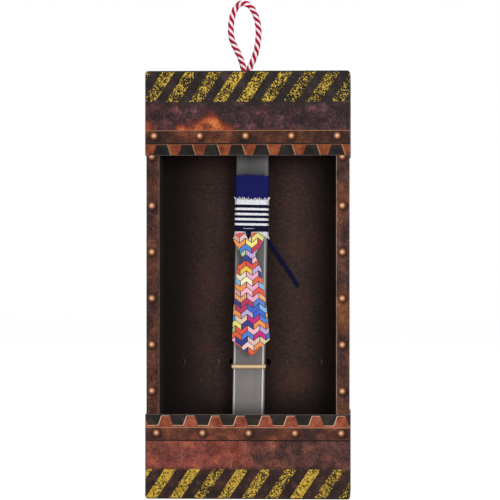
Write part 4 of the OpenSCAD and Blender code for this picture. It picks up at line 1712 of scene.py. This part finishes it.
            # Above the wrap the ribbon isn't pressed, and stands off the wax
            share = (v.co.z - top - pressed) / (loose - pressed)
            free = min(max(share, 0.0), 1.0) * self.ribbon_swell
            v.co += free * Vector((v.co.x / self.width, v.co.y / self.thick, 0.0)).normalized()
            v.co.z += self.ribbon_wave * noise.noise(v.co * self.wave_rate)
        ribbon = Piece("plain_ribbon", "candle", "blue_ribbon", ("ribbon_band",), (RIBBON,))
        piece = ribbon.put(bm, self.place)
        hairs = Piece("ribbon_fuzz", "candle", "blue_ribbon", (), (FUZZ,))
        fuzz = hairs.put(threads(self.fuzz_lines(), self.fuzz_r, 0), self.place, STRAND_SHARP)

    def fuzz_lines(self) -> list[list[Vector]]:
        """Lets hairs stand off the ribbon, upward along its top edge and outward below it.

        Returns:
            The line of each hair.
        """
        off = self.ribbon_t + self.ribbon_swell - self.root_in
        lines = []
        for level in self.fuzz_levels:
            at_edge = level < self.fuzz_edge
            for spot, away in self.outline(off, self.fuzz_stops):
                root = spot + Vector((0.0, 0.0, self.ribbon_z + self.ribbon_h - level))
                lean = Vector([self.fray.uniform(-0.7, 0.7) for _ in range(3)])
                lean += Vector((0.3 * away.x, 0.3 * away.y, 1.2)) if at_edge else away
                # On the narrow sides many hairs stand behind each other, so these stay short
                tall = self.fuzz_short if abs(away.x) > 0.5 else self.fuzz_tall
                reach = self.fray.uniform(*self.fuzz_reach) * (tall if at_edge else 1.0)
                lines.append([root, root + 0.5 * reach * lean, root + reach * lean])
        return lines

    def build_wrap(self) -> None:
        """Winds the striped cloth over the ribbon, ribbed by its stripes, and frays its two edges."""
        off = self.ribbon_t + self.wrap_t
        height = self.wrap_h - self.wrap_frayed
        bm = self.wound(off, self.wrap_t - self.wall_gap, self.wrap_z, height, rows=36)
        for v in bm.verts:
            away = Vector((v.co.x / self.width, v.co.y / self.thick, 0.0)).normalized()
            wave = math.cos(2 * math.pi * (v.co.z - STRIPED.first) / STRIPED.pitch)
            inside = abs(v.co.z - self.lace_z - self.lace_w / 2) < self.lace_w / 2
            v.co -= away * (self.lace_sink if inside else self.wrap_rib * wave)
            v.co.z += self.wrap_wave * noise.noise(v.co * self.wave_rate)
        cloth = Piece("striped_cloth", "candle", "striped_cloth", ("striped_wrap",), (STRIPED,))
        piece = cloth.put(bm, self.place)
        frayed = Piece("frayed_threads", "candle", "striped_cloth", (), (FRINGE,))
        loose = threads(self.fringe_lines(), self.fringe_r, 1, self.fringe_taper)
        fringe = frayed.put(loose, self.place, STRAND_SHARP)

    def fringe_lines(self) -> list[list[Vector]]:
        """Frays the cloth's two edges into threads that leave it straight and then flare.

        Returns:
            The line of each thread.
        """
        off = self.ribbon_t + self.wrap_t - self.root_in
        high = self.wrap_z + self.wrap_h - self.wrap_frayed - self.fringe_root
        low = self.wrap_z + self.fringe_root
        lines = []
        for spot, away in self.outline(off, self.fringe_stops):
            for z, way in ((high, 1), (low, -1)):
                if self.fray.random() < self.fringe_gap:
                    continue
                reach = self.fray.uniform(*self.fringe_reach)
                swing = Vector((self.fray.uniform(-0.5, 0.5), self.fray.uniform(-0.2, 0.2), 0.0))
                flare = away * self.fray.uniform(0.0, 0.15) + swing
                root = spot + Vector((0.0, 0.0, z))
                rise = Vector((0.0, 0.0, way))
                lines.append([root + reach * (t * rise + t * t * flare) for t in (0, 0.35, 0.7, 1)])
        return lines

    def build_lace(self) -> None:
        """Winds one turn of lace that bites into the cloth and is squeezed narrow next to its knot."""
        off = self.ribbon_t + self.wrap_t + self.lace_t - self.lace_sink
        bm = self.wound(off, self.lace_t - self.wall_gap, self.lace_z, self.lace_w, rows=6)
        for v in bm.verts:
            if v.co.y < 0:
                near = max(0.0, 1 - ((v.co.x - self.squeeze_x) / self.squeeze_half) ** 4)
                v.co.z -= self.lace_squeeze * near * (v.co.z - self.lace_z) / self.lace_w
        Piece("lace_turn", "candle", "navy_lace", ("lace_wrap",), (SUEDE,)).put(bm, self.place)


@dataclass
class Pendant:
    """The tie-shaped plate with its printed face, hung from the lace knot."""

    knot_r: float = 2.0
    knot_stretch: Triple = (1.2, 1.0, 1.45)
    lace_w: float = 3.2
    lace_t: float = 0.8
    back_y: float = 1.25
    drop: Pair = (-2.0, -14.0)
    drop_steps: int = 6
    lace_corner: float = 0.35
    edge: float = 0.25

    @property
    def place(self) -> Matrix:
        """The pendant's frame, with the hinge point as its origin."""
        return Matrix.Translation(PENDANT_HINGE) @ Matrix.Rotation(PENDANT_TILT, 4, "Y")

    def build_knot(self) -> None:
        """Ties the lace knot that the tie swings on."""
        bm = overhand(self.knot_r, Vector(), Vector(self.knot_stretch))
        knot = Piece("lace_overhand_knot", "lace_knot", "navy_lace", ("lace_knot",), (SUEDE,))
        knot.put(bm, self.place, STRAND_SHARP)

    def build_drop(self) -> None:
        """Glues the lace's end behind the plate."""
        y = self.back_y + self.lace_t / 2
        start, end = self.drop
        fall = (end - start) / self.drop_steps
        route = [Vector((0.0, y, start + fall * k)) for k in range(self.drop_steps + 1)]
        bm = strip(route, self.lace_w, self.lace_t, self.lace_corner)
        Piece("lace_behind_tie", "tie", "navy_lace", ("lace_drop",), (SUEDE,)).put(bm, self.place)

    def build_tie(self) -> None:
        """Rounds the rims of the plate and of its printed face."""
        for name, node, slot, finish, soft in (
            ("tie_back_plate", "tie_plate", "white_plate", PLATE, self.edge),
            ("tie_printed_face", "tie_face", "printed_face", TILES, self.edge / 2),
        ):
            bm = cad_copy(node)
            # The two broad faces have many corners, and the walls between them have few
            broad = {f for f in bm.faces if len(f.verts) > 8}
            turns = [e for e in bm.edges if e.calc_face_angle(0.0) > RIM_TURN]
            rims = [e for e in turns if broad.intersection(e.link_faces)]
            bmesh.ops.bevel(bm, geom=rims, offset=soft, offset_type="OFFSET", affect="EDGES",
                            segments=2, profile=0.5, material=-1)
            Piece(name, "tie", slot, (node,), (finish,)).put(bm)


def main() -> None:
    """Builds the sub-assemblies in order."""
    logging.basicConfig(level=logging.INFO, format="%(message)s")
    studio = Studio()
    loop = HangingLoop()
    carton = Carton()
    candle = Candle()
    pendant = Pendant()
    studio.build_camera()
    loop.build_loop()
    candle.build_tail()
    carton.dress()
    carton.build_elastic()
    loop.build_knot()
    candle.build_wax()
    candle.build_wick()
    candle.build_ribbon()
    candle.build_wrap()
    candle.build_lace()
    pendant.build_knot()
    pendant.build_drop()
    pendant.build_tie()
    studio.build_light()
    studio.build_floor()


if __name__ == "__main__":
    main()
